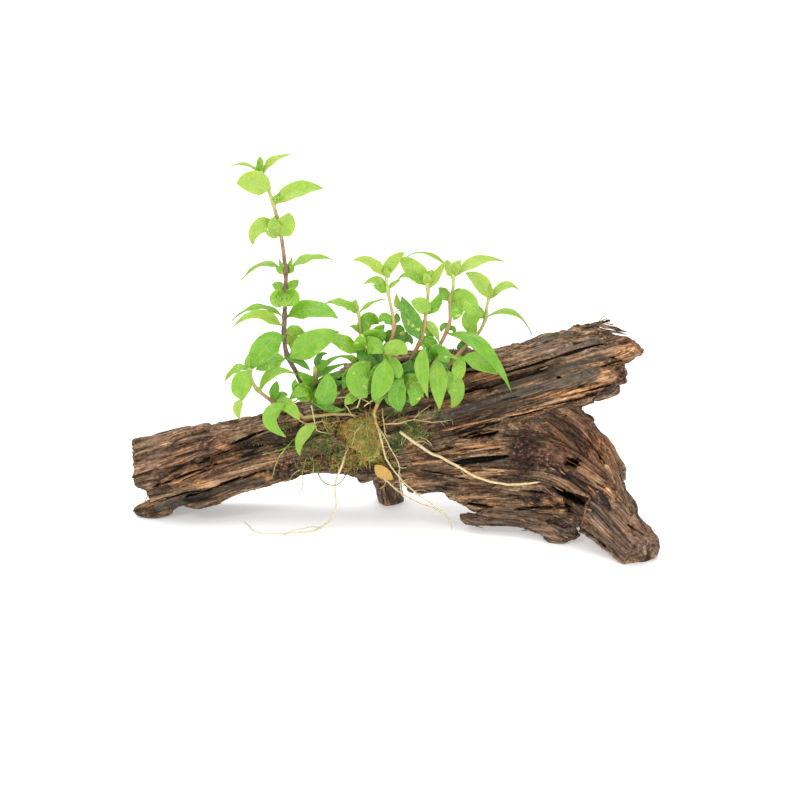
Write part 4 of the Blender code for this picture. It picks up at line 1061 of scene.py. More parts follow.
# %% Courses of the stems and their small leaves
STEMS = {
    "stem_tall": (
        [(260, 171, 3), (270, 194, 3), (275, 210, 3), (281, 235, 3), (285.5, 271, 3), (285.5, 290, 3),
         (284.5, 320, 3), (284, 336, 3), (287, 355, 4), (296, 372, 6), (302, 385, 9), (305, 395, 11)],
        0.85, 1.2,
        [((260, 173, 3), (260, 165, 3), (260.5, 156.5, 3), 3.6, 75, 0.3),
         ((261, 173, 3), (244, 164.5, 2), (231, 167, 2), 3.8, 12, 0.05),
         ((263, 174, 3), (273, 160.5, 3), (291, 154.5, 4), 4.4, 40, 0.0),
         ((279, 235, 1), (286.5, 224, 0), (288.5, 212.5, 0), 9.0, 85, 0.12),
         ((279, 235, 1), (274, 226.5, -1), (274.5, 216.5, -2), 6.0, 80, 0.15),
         ((279, 235, 1), (272, 233.5, -1), (265.5, 231, -2), 4.4, 70, 0.12),
         ((273, 200, 2), (277.5, 197, 0), (280, 191.5, 0), 2.8, 70, 0.45),
         ((284.5, 289, 3), (278, 286, 6), (272, 284.5, 8), 4.4, 70, 0.3),
         ((287, 289, 3), (292.5, 285.5, 6), (298.5, 279.5, 8), 4.4, 70, 0.35),
         ((284.5, 293, 1), (276, 298, -3), (281, 307, -5), 6.0, 85, 0.35),
         ((285, 293, 1), (293, 297, -3), (287, 306, -5), 6.0, 85, 0.4),
         ((285, 293, 1), (284.5, 300, -4), (283.5, 307.5, -6), 7.0, 90, 0.35),
         ((286, 357, 3), (298, 361, 3), (310.5, 371, 3), 4.8, 35, 0.85),
         ((285.5, 331, 4), (296, 331, 7), (305, 333.5, 8), 5.0, 60, 0.3),
         ((285.5, 271, 3), (281, 265, 1), (279, 258, 0), 2.4, 60, 0.3),
         ((285.5, 271, 3), (290, 264, 4), (292, 257, 5), 2.4, 60, 0.3),
         ((284, 272, 2), (279, 270, 0), (276, 267, -1), 3.0, 60, 0.25),
         ((287, 272, 3), (291, 270, 2), (294, 266, 1), 3.0, 60, 0.35)],
    ),
    "stem_lower_left": (
        [(249, 367, -6), (251, 377, -6), (256, 388, -6), (265, 396, -4), (274, 402, 1), (285, 405, 8)],
        0.8, 1.05,
        [((249.5, 370, -6), (247.5, 361, -6), (251, 352.5, -5), 3.0, 60, 0.3),
         ((249, 370, -6), (236, 369.5, -5), (224.5, 381.5, -5), 4.8, 30, 0.3),
         ((242, 399, -8), (237.5, 409, -6), (240.5, 420, -6), 4.2, 85, 0.0),
         ((273, 401, 0), (275, 390, 0), (277, 381, 0), 4.6, 75, 0.6),
         ((275, 402, 0), (281, 396, 0), (288, 395, 0), 4.0, 60, 0.55),
         ((249.5, 370, -6), (258, 362, -4), (268, 360, -3), 4.5, 40, 0.3),
         ((277, 403, 0), (288, 406, -5), (300, 420.5, -7), 6.4, 80, 0.25),
         ((256, 388, -6), (259, 390, -7), (262, 391, -8), 2.4, 60, 0.2)],
    ),
    "stem_brown": (
        [(316, 366, 7), (315, 377, 8), (314, 387, 9), (313, 396, 11)],
        1.0, 1.35,
        [((316, 370, 7), (321, 365, 5), (329, 362, 4), 4.4, 60, 0.6),
         ((316, 368, 7), (320, 356, 5), (328, 354, 4), 3.6, 60, 0.8),
         ((315, 380, 8), (328, 370, 9), (347, 363, 9), 3.6, 40, 0.6),
         ((315, 378, 8), (331, 360, 9), (350, 356, 9), 2.8, 40, 0.45),
         ((315, 384, 8), (333, 377, 6), (351, 373, 5), 4.2, 50, 0.85),
         ((314, 397, 6), (298, 389, 0), (295.5, 379, 0), 7.6, 75, 0.75),
         ((313, 386, 7), (301, 391, -1), (289.5, 399.5, -2), 6.6, 70, 0.5),
         ((315, 384, 7), (304, 377, 3), (297.5, 371, 3), 5.0, 60, 0.6),
         ((313, 391, 10), (322, 401, 1), (334, 410, -1), 7.0, 75, 0.95),
         ((313, 393, 8), (326, 396, 0), (341, 392, -1), 6.6, 75, 0.8),
         ((314, 388, 9), (331, 385, 4), (344, 381, 3), 5.6, 65, 0.9),
         ((314, 397, 8), (331, 408, 1), (346, 409, 0), 5.0, 70, 0.7),
         ((316, 425, 2), (301, 438, 0), (300, 456.5, -2), 5.6, 80, 0.2)],
    ),
    "stem_short": (
        [(358, 310, 8), (361, 334, 8), (360.6, 347, 8), (357, 362, 8), (356, 379, 7)],
        0.7, 0.95,
        [((358, 313, 8), (354.5, 307, 8), (356, 299.5, 8), 4.2, 75, 0.15),
         ((359, 313, 8), (371, 303.5, 8), (385.5, 299, 9), 3.2, 20, 0.35),
         ((361, 333, 8), (356, 328, 7), (350, 326.5, 6), 3.0, 50, 0.4),
         ((361, 334, 8), (368, 320, 9), (378.5, 324, 10), 7.0, 65, 0.5),
         ((361, 346, 8), (366, 358, 2), (379, 363.5, 0), 6.4, 80, 0.9),
         ((368, 344, 3), (377, 333, 2), (384.5, 324.5, 3), 5.6, 80, 0.4),
         ((362, 350, 5), (360.5, 342, 1), (363, 333.5, 0), 6.0, 85, 0.45),
         ((363, 345, 3), (374, 346, -2), (383, 353.5, -3), 8.0, 85, 0.45),
         ((357, 364, 6), (350, 358, 4), (340, 357, 3), 3.4, 50, 0.35),
         ((357, 368, 6), (348, 378, 1), (343, 390, 0), 5.4, 75, 0.75),
         ((357, 376, 6), (355, 388, 0), (350, 399, -1), 5.0, 80, 0.85),
         ((358, 395, 1), (351, 398, -2), (345, 405, -3), 4.4, 80, 0.3)],
    ),
    "stem_d": (
        [(386, 276, -3), (388, 292, -3), (391, 307, -3), (394, 324, -3), (392, 338, -3), (386, 352, -2),
         (384, 366, 0), (382, 380, 4), (381, 390, 8)],
        0.75, 1.0,
        [((386, 290, -3), (376, 280.5, -4), (363.5, 284.5, -5), 4.6, 45, 0.15),
         ((388, 290, -3), (393, 284.5, -2), (400.5, 279.5, -1), 2.8, 35, 0.1),
         ((387, 291, -3), (381, 289, -5), (373, 285, -6), 3.4, 60, 0.4),
         ((392, 325, -3), (385, 317.5, -3), (379.5, 322.5, -3), 4.8, 60, 0.6),
         ((393, 322, -3), (397, 318, -1), (396, 313, 0), 3.6, 60, 0.8),
         ((394, 326, -3), (399, 333, 0), (402, 342, 0), 6.0, 80, 0.9),
         ((393, 330, -3), (389, 337, 0), (387, 344, 1), 5.0, 80, 0.95),
         ((391, 343, -3), (406, 338, 2), (412, 345, 2), 5.2, 75, 0.9),
         ((388, 356, -3), (396, 347.5, -6), (407.5, 354, -7), 7.4, 85, 0.3),
         ((388, 358, -3), (395, 367, -5), (399.5, 379, -6), 6.4, 85, 0.4),
         ((386, 352, -2), (378, 357, 1), (366, 361, 1), 5.6, 80, 0.95),
         ((386, 278, -3), (387, 273, -4), (386, 267, -4), 3.6, 70, 0.05),
         ((400, 310, -1), (397, 301, 0), (396.5, 293, 0), 3.4, 80, 0.05),
         ((388, 366, -1), (378, 374, -3), (372, 387, -3), 7.6, 85, 0.7),
         ((390, 372, 0), (390, 386, -2), (386, 398, -3), 7.0, 88, 0.8),
         ((384, 370, 1), (370, 372, 0), (356, 380, 0), 6.6, 80, 0.75),
         ((386, 380, 2), (379, 392, 0), (378, 404, 0), 6.4, 88, 0.6),
         ((374, 386, 4), (364, 390, 3), (355, 400, 3), 5.6, 80, 0.7),
         ((366, 345, 5), (376, 352, 4), (388, 350, 4), 6.0, 80, 0.85),
         ((384, 345, 2), (397, 342, 3), (409, 330, 4), 5.4, 80, 0.95),
         ((357, 399, 4), (351, 399, 2), (346, 403, 1), 4.4, 85, 0.1)],
    ),
    "stem_e": (
        [(426, 274, 0), (428, 291, 0), (427.5, 301, 0), (426, 313, 0), (424.6, 323, 0), (422, 336, 0),
         (415, 352, 1), (405, 372, 4), (394, 390, 8)],
        0.8, 1.05,
        [((426, 285, 0), (409, 275, -2), (397.5, 280.5, -3), 4.6, 50, 0.35),
         ((427, 276, 0), (430, 273, 1), (433.5, 270, 2), 2.4, 45, 0.3),
         ((428, 289, 0), (436, 276, 1), (446.5, 260, 2), 4.8, 62, 0.0),
         ((430, 311, -1), (420, 304.5, -3), (411, 301, -3), 7.0, 80, 0.2),
         ((427, 314, 0), (436, 304, 1), (442.5, 291.5, 1), 5.0, 70, 0.5),
         ((427, 284, 0), (427, 279, -3), (424, 273, -4), 4.0, 80, 0.05),
         ((424, 331, 0), (414, 329, -2), (405.5, 318, -2), 4.6, 75, 0.4),
         ((424, 322, 0), (433, 329, 2), (439.5, 343, 2), 4.2, 70, 0.15),
         ((424, 325, 0), (430, 334, 3), (433, 346, 3), 3.8, 70, 0.3),
         ((418, 345, 1), (429, 342, 1), (438, 348, 0), 5.6, 80, 0.6),
         ((411, 360, 0), (410, 367, 0), (407, 381, 0), 8.0, 80, 1.0),
         ((415, 353, 0), (420, 362, 1), (419, 378, 1), 7.0, 80, 1.0),
         ((406, 372, 1), (398, 378, -2), (391, 387, -3), 5.6, 80, 0.75),
         ((403, 378, 1), (415, 388, -6), (411.5, 406.5, -7), 8.4, 85, 0.6),
         ((404, 378, 1), (416, 384, -5), (423.5, 398, -6), 6.0, 80, 0.3),
         ((408, 374, 3), (422, 374, 0), (434, 384, 0), 6.6, 85, 0.85),
         ((404, 382, 3), (408, 394, 0), (418, 402, 0), 6.0, 88, 0.8),
         ((410, 368, 3), (428, 362, 2), (441, 366, 1), 6.4, 80, 0.9),
         ((398, 384, 4), (390, 394, 1), (392, 406, 1), 5.6, 88, 0.55)],
    ),
    "stem_f": (
        [(453, 268, 6), (453, 288, 6), (450, 304, 6), (450, 320, 6), (447.6, 329, 5), (440, 345, 3),
         (430, 362, 1), (418, 378, 3), (405, 391, 6)],
        0.8, 1.05,
        [((453, 276, 6), (455, 268, 4), (461, 260, 4), 4.6, 70, 0.0),
         ((453, 276, 6), (449, 268, 4), (447, 259.5, 4), 4.6, 75, 0.0),
         ((452, 272, 6), (428, 254, 5), (406.5, 257, 4), 3.4, 15, 0.2),
         ((451, 301, 6), (444, 293, 8), (438.5, 287.5, 9), 4.8, 65, 0.45),
         ((452, 301, 6), (457, 293, 9), (461, 288.5, 10), 4.4, 60, 0.45),
         ((452, 302, 5), (457, 310, -1), (453.5, 320, -1), 6.4, 85, 0.45),
         ((450, 327, 6), (444, 326, 5), (441, 332, 4), 3.0, 60, 0.8),
         ((449, 328, 6), (453, 329, 4), (455, 334, 3), 2.6, 60, 0.8),
         ((434, 356, 1), (439, 352, -4), (449.5, 362.5, -5), 7.0, 80, 0.75),
         ((436, 352, 1), (451, 356, -1), (461, 362, -1), 2.6, 60, 0.1),
         ((428, 365, 0), (424, 375, -2), (420, 386, -3), 6.4, 80, 0.95),
         ((436, 352, 2), (428, 355, -1), (421, 363, -2), 6.0, 80, 0.85),
         ((413, 383, 4), (415, 391, 0), (422, 399, -1), 6.0, 80, 0.9)],
    ),
    "stem_g": (
        [(490, 295, 10), (487, 306, 10), (486, 317, 10), (481, 329, 9), (476, 336, 7), (467, 345, 3),
         (455, 358, 0), (440, 376, -1), (424, 389, 0), (414, 397, 2)],
        0.75, 1.05,
        [((485, 319, 10), (479.5, 311, 10), (478, 304.5, 11), 3.4, 75, 0.35),
         ((489, 299, 10), (489, 292, 9), (491, 284, 9), 4.0, 75, 0.0),
         ((456, 357, 0), (459, 368, -4), (455.5, 382.5, -5), 6.4, 80, 0.35),
         ((470, 342, 4), (463, 344, 5), (457, 349, 5), 3.6, 60, 0.8),
         ((451, 363, 0), (444, 367, -2), (441, 378, -3), 5.6, 80, 0.85)],
    ),
}

STEM_LINES = {name: seen_line(row[0], 0.8 * MM) for name, row in STEMS.items()}
print("stems", {name: round(way_along(line)[-1] / MM) for name, line in STEM_LINES.items()}, "mm")

# %% [markdown]
# The leaves are lance-shaped and sit in pairs. Each follows its own bow from the stem over its
# middle to its tip. Then come its width in millimetres, how far it turns its face from the sky to
# the viewer in degrees, and its age, since young leaves are pale yellow green and old ones deep.

# %% Leaf places
LEAVES = {
    "leaf_tall_1_left": ((270, 189, 0), (253, 182.5, -3), (236.5, 183.5, -4), 10.4, 75, 0.06),
    "leaf_tall_1_right": ((276, 203, 3), (298, 189.5, 5), (323.5, 188.3, 8), 8.2, 55, 0.08),
    "leaf_tall_2_left": ((272, 220.5, 1), (256, 229.5, -3), (253, 245, -6), 6.8, 78, 0.1),
    "leaf_tall_3_left": ((279, 267, 2), (260, 265.5, 0), (241, 280.5, -1), 5.4, 12, 0.3),
    "leaf_tall_3_right": ((290, 268.5, 4), (312, 257.5, 6), (333, 260, 7), 6.0, 22, 0.3),
    "leaf_tall_4_left": ((282, 316, 2), (257, 307.5, 1), (232, 320.5, 0), 6.0, 10, 0.5),
    "leaf_tall_5_left": ((281, 325, 1), (256, 315, -6), (233, 327, -9), 6.4, 35, 0.12),
    "leaf_tall_4_right": ((288, 316.5, 4), (312, 309, 3), (338, 318.5, 0), 9.4, 48, 0.5),
    "leaf_tall_6_left": ((283, 337, 1), (266.5, 346, -4), (251, 367.5, -6), 11, 82, 0.55),
    "leaf_tall_6_back": ((287, 334, 6), (295, 345, 8), (291, 355, 9), 6.2, 90, 0.0),
    "leaf_tall_7_right": ((290, 357.5, 3), (316, 341, 0), (339, 332, -3), 11.5, 80, 0.42),
    "leaf_tall_7_left": ((284, 359, 1), (271, 362, -3), (256, 370, -5), 7.4, 75, 0.5),
    "leaf_low_front": ((249, 372, -8.5), (241, 385, -11), (243, 400, -11), 9.4, 90, 0.35),
    "leaf_low_right": ((260, 390, -6), (275, 372, -5), (297, 375, -4), 5.6, 42, 0.3),
    "leaf_low_hanging": ((285, 404, -5), (270, 419, -10), (286.5, 437.5, -11), 6.8, 90, 0.42),
    "leaf_brown_stem": ((318, 404, 1), (327, 390, -3), (327, 373, -3), 9.4, 85, 0.55),
    "leaf_short_top": ((356, 311, 7), (341, 303, 6), (325, 303.5, 5), 5.6, 30, 0.3),
    "leaf_short_front": ((363, 345, 5), (373, 339, 1), (387, 333, 0), 9.6, 88, 0.5),
    "leaf_short_left": ((358, 352, 6), (343, 343, 4), (326, 336, 3), 7.4, 60, 0.4),
    "leaf_d_left": ((385, 276, -3), (369, 261.5, -4), (352.5, 260.5, -5), 5.8, 50, 0.0),
    "leaf_d_right": ((387, 277, -3), (392, 262.5, -3), (405, 252.5, -3), 5.8, 70, 0.08),
    "leaf_e_left": ((427, 283, 0), (411.5, 267, 1), (399, 259, 2), 8.6, 68, 0.1),
    "leaf_e_dark": ((419, 338, -2), (409.5, 317, -3), (402, 296.5, -2), 8.6, 85, 0.9),
    "leaf_f_right": ((456, 275.5, 6), (480, 260, 7), (504.5, 262, 8), 5.8, 45, 0.04),
    "leaf_f_front": ((453, 298, 4), (466, 301, 0), (476.5, 315, -3), 9.0, 80, 0.28),
    "leaf_g_hanging": ((484, 313, 8), (470.5, 319, 5), (476, 335.5, 4), 7.6, 85, 0.35),
    "leaf_f_long": ((450, 334, 2), (484, 349, -5), (511.5, 392, -9), 6.6, 62, 0.5),
    "leaf_f_under": ((463, 358, -3), (481, 362, -3), (498, 375, -4), 7.8, 82, 0.42),
    "leaf_g_left": ((489, 298, 9), (479, 281, 8), (465.5, 273, 7), 7.2, 72, 0.05),
    "leaf_g_top": ((491, 298, 10), (506, 285.5, 11), (519, 290.5, 12), 5.0, 40, 0.08),
    "leaf_g_right": ((487, 317, 10), (513, 313, 11), (532, 334.5, 12), 4.0, 22, 0.2),
    "leaf_hang_1": ((424, 348, -4), (422.5, 373, -7), (428.5, 399, -8), 6.6, 90, 0.4),
    "leaf_hang_2": ((437, 358, -2), (438, 384, -6), (439.5, 410, -7), 8.6, 90, 0.35),
    "leaf_hang_3": ((448, 372, -4), (457, 391, -3), (450.5, 408, -3), 8, 90, 0.4),
    "leaf_hang_4": ((402, 378, -5), (397, 395, -8), (401, 411.5, -8), 8.0, 90, 0.62),
    "leaf_hang_5": ((385, 360, -6), (382, 380, -9), (373, 401, -9), 9.4, 90, 0.42),
    "leaf_hang_6": ((371, 363, -1), (358, 378, -4), (367, 398, -5), 10.6, 90, 0.5),
}
print("leaves", len(LEAVES))

# %% [markdown]
# All the leaves are one blank. It starts as a grid, thickened by Solidify into a thin closed
# sheet, and a copy of it is then laid along each bow. The outline narrows to a stalk at the foot
# and to a point at the tip, and slender leaves get a more slender outline than broad ones. The
# margins rise beside the midrib and ripple a little. Drawing each leaf by hand would give more
# variety, but a few numbers per leaf and a little chance come close.

# %% Leaf blank
LEAF_STATIONS = 30
LEAF_FILES = 12
LEAF_THICK = 0.30 * MM
LEAF_KEEL = 0.20
LEAF_RIPPLE = 0.16
LEAF_STEP = 0.4 * MM
BOW_PLACES = 9
STALK_FROM = 0.3 * MM
STALK_REACH = 5.5 * MM
MIDRIB_WIDE = 0.35 * MM
BACKWARD = np.array((0.0, 1.0, 0.0))
# The share of the way from foot to tip, and how much of its width the leaf has there.
OVATE = [(0.0, 0.13), (0.05, 0.27), (0.12, 0.53), (0.22, 0.82), (0.34, 0.98), (0.46, 1.0),
         (0.58, 0.96), (0.70, 0.84), (0.81, 0.65), (0.90, 0.41), (0.96, 0.20), (1.0, 0.03)]
LANCE = [(0.0, 0.15), (0.05, 0.31), (0.12, 0.56), (0.22, 0.84), (0.32, 1.0), (0.44, 0.96),
         (0.56, 0.81), (0.68, 0.59), (0.80, 0.36), (0.90, 0.18), (0.96, 0.08), (1.0, 0.02)]
ovate_line, lance_line = (smooth_line([np.array(place) for place in outline], 0.01)
                          for outline in (OVATE, LANCE))

leaf_grid = thick_grid(LEAF_STATIONS, LEAF_FILES)
leaf_blank = leaf_grid.data.copy()
bpy.data.objects.remove(leaf_grid)
print("leaf blank", len(leaf_blank.polygons), "faces")

# %% Laying a leaf along its bow
def bow_of(base, middle, tip):
    """A leaf's bow, begun at the stem that carries it, and the share of it that is stalk."""
    knee = middle * 2 - (base + tip) / 2
    shares = np.linspace(0, 1, BOW_PLACES)[:, None]
    places = list(base * (1 - shares) ** 2 + knee * (2 * shares * (1 - shares)) + tip * shares**2)
    stems = np.concatenate(list(STEM_LINES.values()))
    away = np.linalg.norm(stems - base, axis=1)
    stalk = away.min() if STALK_FROM < away.min() < STALK_REACH else 0.0
    if stalk:
        places.insert(0, stems[away.argmin()])
    line = smooth_line(places, LEAF_STEP)
    return line, stalk / way_along(line)[-1]


def leaf_piece(name, base, middle, tip, width, roll, age, seed):
    """One leaf laid along its bow from its stem over its middle to its tip."""
    chance = np.random.default_rng(seed)
    base, middle, tip = seen(*base), seen(*middle), seen(*tip)
    line, stalk_share = bow_of(base, middle, tip)
    far = way_along(line)

    mesh = leaf_blank.copy()
    blank = points_of(mesh)
    share, across, top = blank[:, 0] + 0.5, blank[:, 1] * 2, np.sign(blank[:, 2])
    centre, ahead = (
        np.stack([np.interp(share * far[-1], far, rows[:, k]) for k in range(3)], axis=1)
        for rows in (line, unit(np.gradient(line, axis=0)))
    )
    ahead = unit(ahead)
    blade = np.clip((share - stalk_share) / (1 - stalk_share), 0, 1)
    out = unit(BACKWARD - ahead * (ahead @ BACKWARD)[:, None])
    sign = 1.0 if np.cross(BACKWARD, tip - base)[2] >= 0 else -1.0
    turn = np.radians(roll + chance.uniform(-14, 14) * (blade - 0.4))[:, None]
    face = np.cross(out, ahead) * sign * np.cos(turn) - out * np.sin(turn)
    side = np.cross(face, ahead)

    broad = rise(np.array(width * MM / far[-1]), 0.24, 0.46)
    half = width * MM / 2 * (broad * np.interp(blade, *ovate_line.T)
                             + (1 - broad) * np.interp(blade, *lance_line.T))
    edge = np.abs(across)
    waves, first_wave = chance.uniform(1.6, 2.6), chance.uniform(0, 6.3)
    ripple = np.sin(2 * math.pi * waves * blade + first_wave + np.sign(across) * 1.3) * edge**2.2
    lift = half * (LEAF_KEEL * (edge**1.5 - 0.25) + LEAF_RIPPLE * ripple)
    midrib = np.exp(-((across * half / MIDRIB_WIDE) ** 2))
    thick = LEAF_THICK / 2 * (1 - 0.55 * edge**3) * (1 + 0.9 * midrib)
    lean = 1 + 0.06 * np.sin(5 * blade + first_wave) * np.sign(across)
    aside, above = half * across * lean, lift + top * thick
    move_points(mesh, centre + side * aside[:, None] + face * above[:, None])
    note(mesh, "blade", np.stack([blade, across, top], axis=1))
    note_all(mesh, "age", age + chance.uniform(-0.04, 0.04))
    note_all(mesh, "tired", max(0.0, chance.uniform(-0.6, 1.0) * (age > 0.35)))
    piece = linked_object(name, mesh)
    only(piece)
    bpy.ops.object.shade_smooth()
    return piece


blades = [leaf_piece(name.replace("leaf", "blade"), *row, seed + 100)
          for seed, (name, row) in enumerate(LEAVES.items())]
print("blades", len(blades))

# %% [markdown]
# Light shines through these leaves, so their shader scatters light below its surface. A leaf is
# paler on its underside and along its midrib, its side veins run forward from the midrib, and the
# blade bulges a little between them. Old leaves have yellow flecks and a brown tip. One fallen
# leaf, caught under the moss, is dead and tan all over.

# %% The look of the leaves
def leaf_look():
    """Green by its age, with veins, a pale underside, a rim paled as painted light, flecks and a brown tip.
    """
    look, tree, shader = new_look("staurogyne_leaf", 0.34, Specular_IOR_Level=0.38, Coat_Weight=0.10,
                                  Coat_Roughness=0.16, Subsurface_Weight=0.35,
                                  Subsurface_Scale=1.2 * MM, Subsurface_Radius=(0.8, 1.0, 0.25))
    parts = tree.nodes.new("ShaderNodeSeparateXYZ")
    feed(stored(tree, "blade", "Vector"), parts.inputs[0])
    share, across, top = parts.outputs
    edge = maths("ABSOLUTE", across)
    spots = marks_in(tree, (900, 900, 900), 330.0)
    slant = product(maths("POWER", edge, 1.25), 0.24)
    order = maths("FRACT", product(less(share, slant), 7.5))
    off_vein = maths("ABSOLUTE", less(order, 0.5))
    vein = product(ramp(off_vein, [(0.0, 1.0), (0.09, 0.0)]), ramp(edge, [(0.35, 1.0), (0.92, 0.0)]))
    midrib = ramp(edge, [(0.035, 1.0), (0.11, 0.0)])
    veins = maths("MAXIMUM", product(vein, 0.55), midrib)
    age = total(stored(tree, "age"), swing(spots["Blotch"], 0.9), clamp=True)
    green = ramp(age, [(0.0, (0.345, 0.470, 0.070)), (0.30, (0.235, 0.425, 0.034)),
                       (0.60, (0.135, 0.350, 0.014)), (1.0, (0.050, 0.185, 0.008))])
    pale = mixed(0.5, green, (0.42, 0.58, 0.16))
    under = product(maths("LESS_THAN", top, 0.0), 0.5)
    green = mixed(product(veins, 0.42), green, pale)
    green = mixed(under, green, pale)
    # Painted light: the margin is paled towards light green, standing for light that shines through the thin
    # edge.
    green = mixed(ramp(edge, [(0.90, 0.0), (1.0, 0.35)]), green, (0.50, 0.66, 0.20))
    flecks = product(stored(tree, "tired"), ramp(spots["Blotch"], [(0.58, 0.0), (0.68, 1.0)]))
    green = mixed(flecks, green, (0.66, 0.70, 0.12))
    brown = product(ramp(share, [(0.955, 0.0), (0.99, 0.8)]),
                    ramp(stored(tree, "age"), [(0.05, 0.0), (0.4, 1.0)]))
    green = mixed(brown, green, (0.15, 0.10, 0.035))
    feed(mixed(stored(tree, "dead"), green, (0.560, 0.340, 0.085)), shader.inputs["Base Color"])
    feed(total(product(spots["Blotch"], 0.35), product(under, 0.5), 0.12), shader.inputs["Roughness"])
    bulge = less(ramp(off_vein, [(0.0, 0.0), (0.35, 1.0)]), product(midrib, 1.2))
    bumped(shader, total(bulge, product(spots["Height"], 0.5)), 0.5, 0.22 * MM)
    return look


LEAF_LOOK = leaf_look()
for piece, name in zip(blades, LEAVES):
    finished(piece, LEAF_LOOK, [name])
fallen = leaf_piece("fallen_leaf", (375, 465, 1), (384, 473, 0.5), (393, 479, 0), 5.6, 88, 0.5, 99)
note_all(fallen.data, "dead", 1.0)
finished(fallen, LEAF_LOOK)
print("full leaves", len(blades), "and one fallen")

# %% Small leaves and buds of each shoot
for seed, (name, (_, _, _, rows)) in enumerate(STEMS.items()):
    buds = [leaf_piece("bud", *row, 300 + seed * 20 + k) for k, row in enumerate(rows)]
    small = joined(name.replace("stem", "small_leaves"), buds)
    finished(small, LEAF_LOOK, [name])
print("small leaves", sum(len(row[3]) for row in STEMS.values()))

# %% [markdown]
# A stem of this plant is a soft round rod that thickens where each pair of leaves grows. It could
# be a chain of cylinders, but a curve with a radius at each of its points bends and tapers in one
# go. The curve is laid through the places of the stem, given its bevel, and converted to a mesh.

# %% Stems from curves
DARK_STEMS = ("stem_tall", "stem_brown")
STEM_SLIM = 0.92
STEM_THICKEST = 1.6
KNOT_NEAR = 3.2 * MM
KNOT_SWELL = 0.228
KNOT_REACH = 1.3 * MM


def tubes(name, strands, roundness):
    """One mesh of round tubes; each strand is its points and its radii, in metres."""
    bpy.ops.object.select_all(action="DESELECT")
    bpy.ops.curve.primitive_bezier_curve_add()
    made = bpy.context.active_object
    curve = made.data
    curve.splines.clear()
    curve.dimensions = "3D"
    curve.bevel_depth = 1.0
    curve.bevel_resolution = roundness
    curve.use_fill_caps = True
    for points, radii in strands:
        line = curve.splines.new("POLY")
        line.points.add(len(points) - 1)
        line.points.foreach_set("co", np.column_stack([points, np.ones(len(points))]).ravel())
        line.points.foreach_set("radius", np.asarray(radii, float))
    only(made)
    bpy.ops.object.convert(target="MESH")
    made = bpy.context.active_object
    made.name = name
    merge_points(made, 0.001 * MM, outwards=True)
    bpy.ops.object.shade_smooth()
    return made


def nearest_in(strands, piece):
    """For each point of a piece of tubes the number of the nearest point of its strands."""
    return nearest_of(np.concatenate([points for points, _ in strands]), points_of(piece.data))


def stem_piece(name):
    """One stem, a little thicker where its leaves grow."""
    _, thin, thick, small = STEMS[name]
    line = STEM_LINES[name]
    share = np.linspace(0, 1, len(line))
    radii = (thin + (thick - thin) * share) * MM * STEM_SLIM
    for row in (*small, *LEAVES.values()):
        away = np.linalg.norm(line - seen(*row[0]), axis=1)
        if away.min() < KNOT_NEAR:
            off_knot = np.linalg.norm(line - line[away.argmin()], axis=1)
            radii *= 1 + KNOT_SWELL * np.exp(-((off_knot / KNOT_REACH) ** 2))
    radii *= 0.55 + 0.45 * rise(share, 0.0, 0.05)
    strands = [(line, np.minimum(radii, thick * MM * STEM_THICKEST))]
    piece = tubes(name.replace("stem", "shoot"), strands, 3)
    note(piece.data, "along", nearest_in(strands, piece) / (len(line) - 1))
    note_all(piece.data, "dark", float(name in DARK_STEMS))
    return piece


def stem_look():
    """Green at the tip and brown further down, or purple on the dark stems."""
    look, tree, shader = new_look("stem_skin", 0.42, Subsurface_Weight=0.25, Subsurface_Scale=1.0 * MM)
    marks = marks_in(tree, (1500, 1500, 420), 260.0)
    height = total(stored(tree, "along"), swing(marks["Blotch"], 0.5))
    pale = ramp(height, [(0.04, (0.440, 0.600, 0.140)), (0.24, (0.430, 0.380, 0.130)),
                         (0.50, (0.400, 0.190, 0.080)), (0.80, (0.250, 0.150, 0.055)),
                         (1.0, (0.300, 0.200, 0.060))])
    purple = ramp(height, [(0.10, (0.480, 0.560, 0.130)), (0.22, (0.400, 0.300, 0.110)),
                           (0.38, (0.210, 0.115, 0.060)), (0.60, (0.100, 0.052, 0.032)),
                           (1.0, (0.120, 0.062, 0.036))])
    skin = mixed(stored(tree, "dark"), pale, purple)
    skin = mixed(ramp(marks["Streak"], [(0.45, 0.0), (0.70, 0.4)]), skin, (0.50, 0.38, 0.20))
    feed(skin, shader.inputs["Base Color"])
    bumped(shader, marks["Height"], 0.4, 0.15 * MM)
    return look


STEM_LOOK = stem_look()
for name in STEMS:
    piece = stem_piece(name)
    finished(piece, STEM_LOOK, [name])
    print(piece.name, len(piece.data.polygons), "faces")

# %% [markdown]
# Roots creep over the wood and hang free below it. Each root is a list of strands, and each strand
# has its course, its thickness at both ends in millimetres, and its tone from pale to brown. A
# place of a course without a depth lies on the wood, and one marked "floor" lies on the ground.

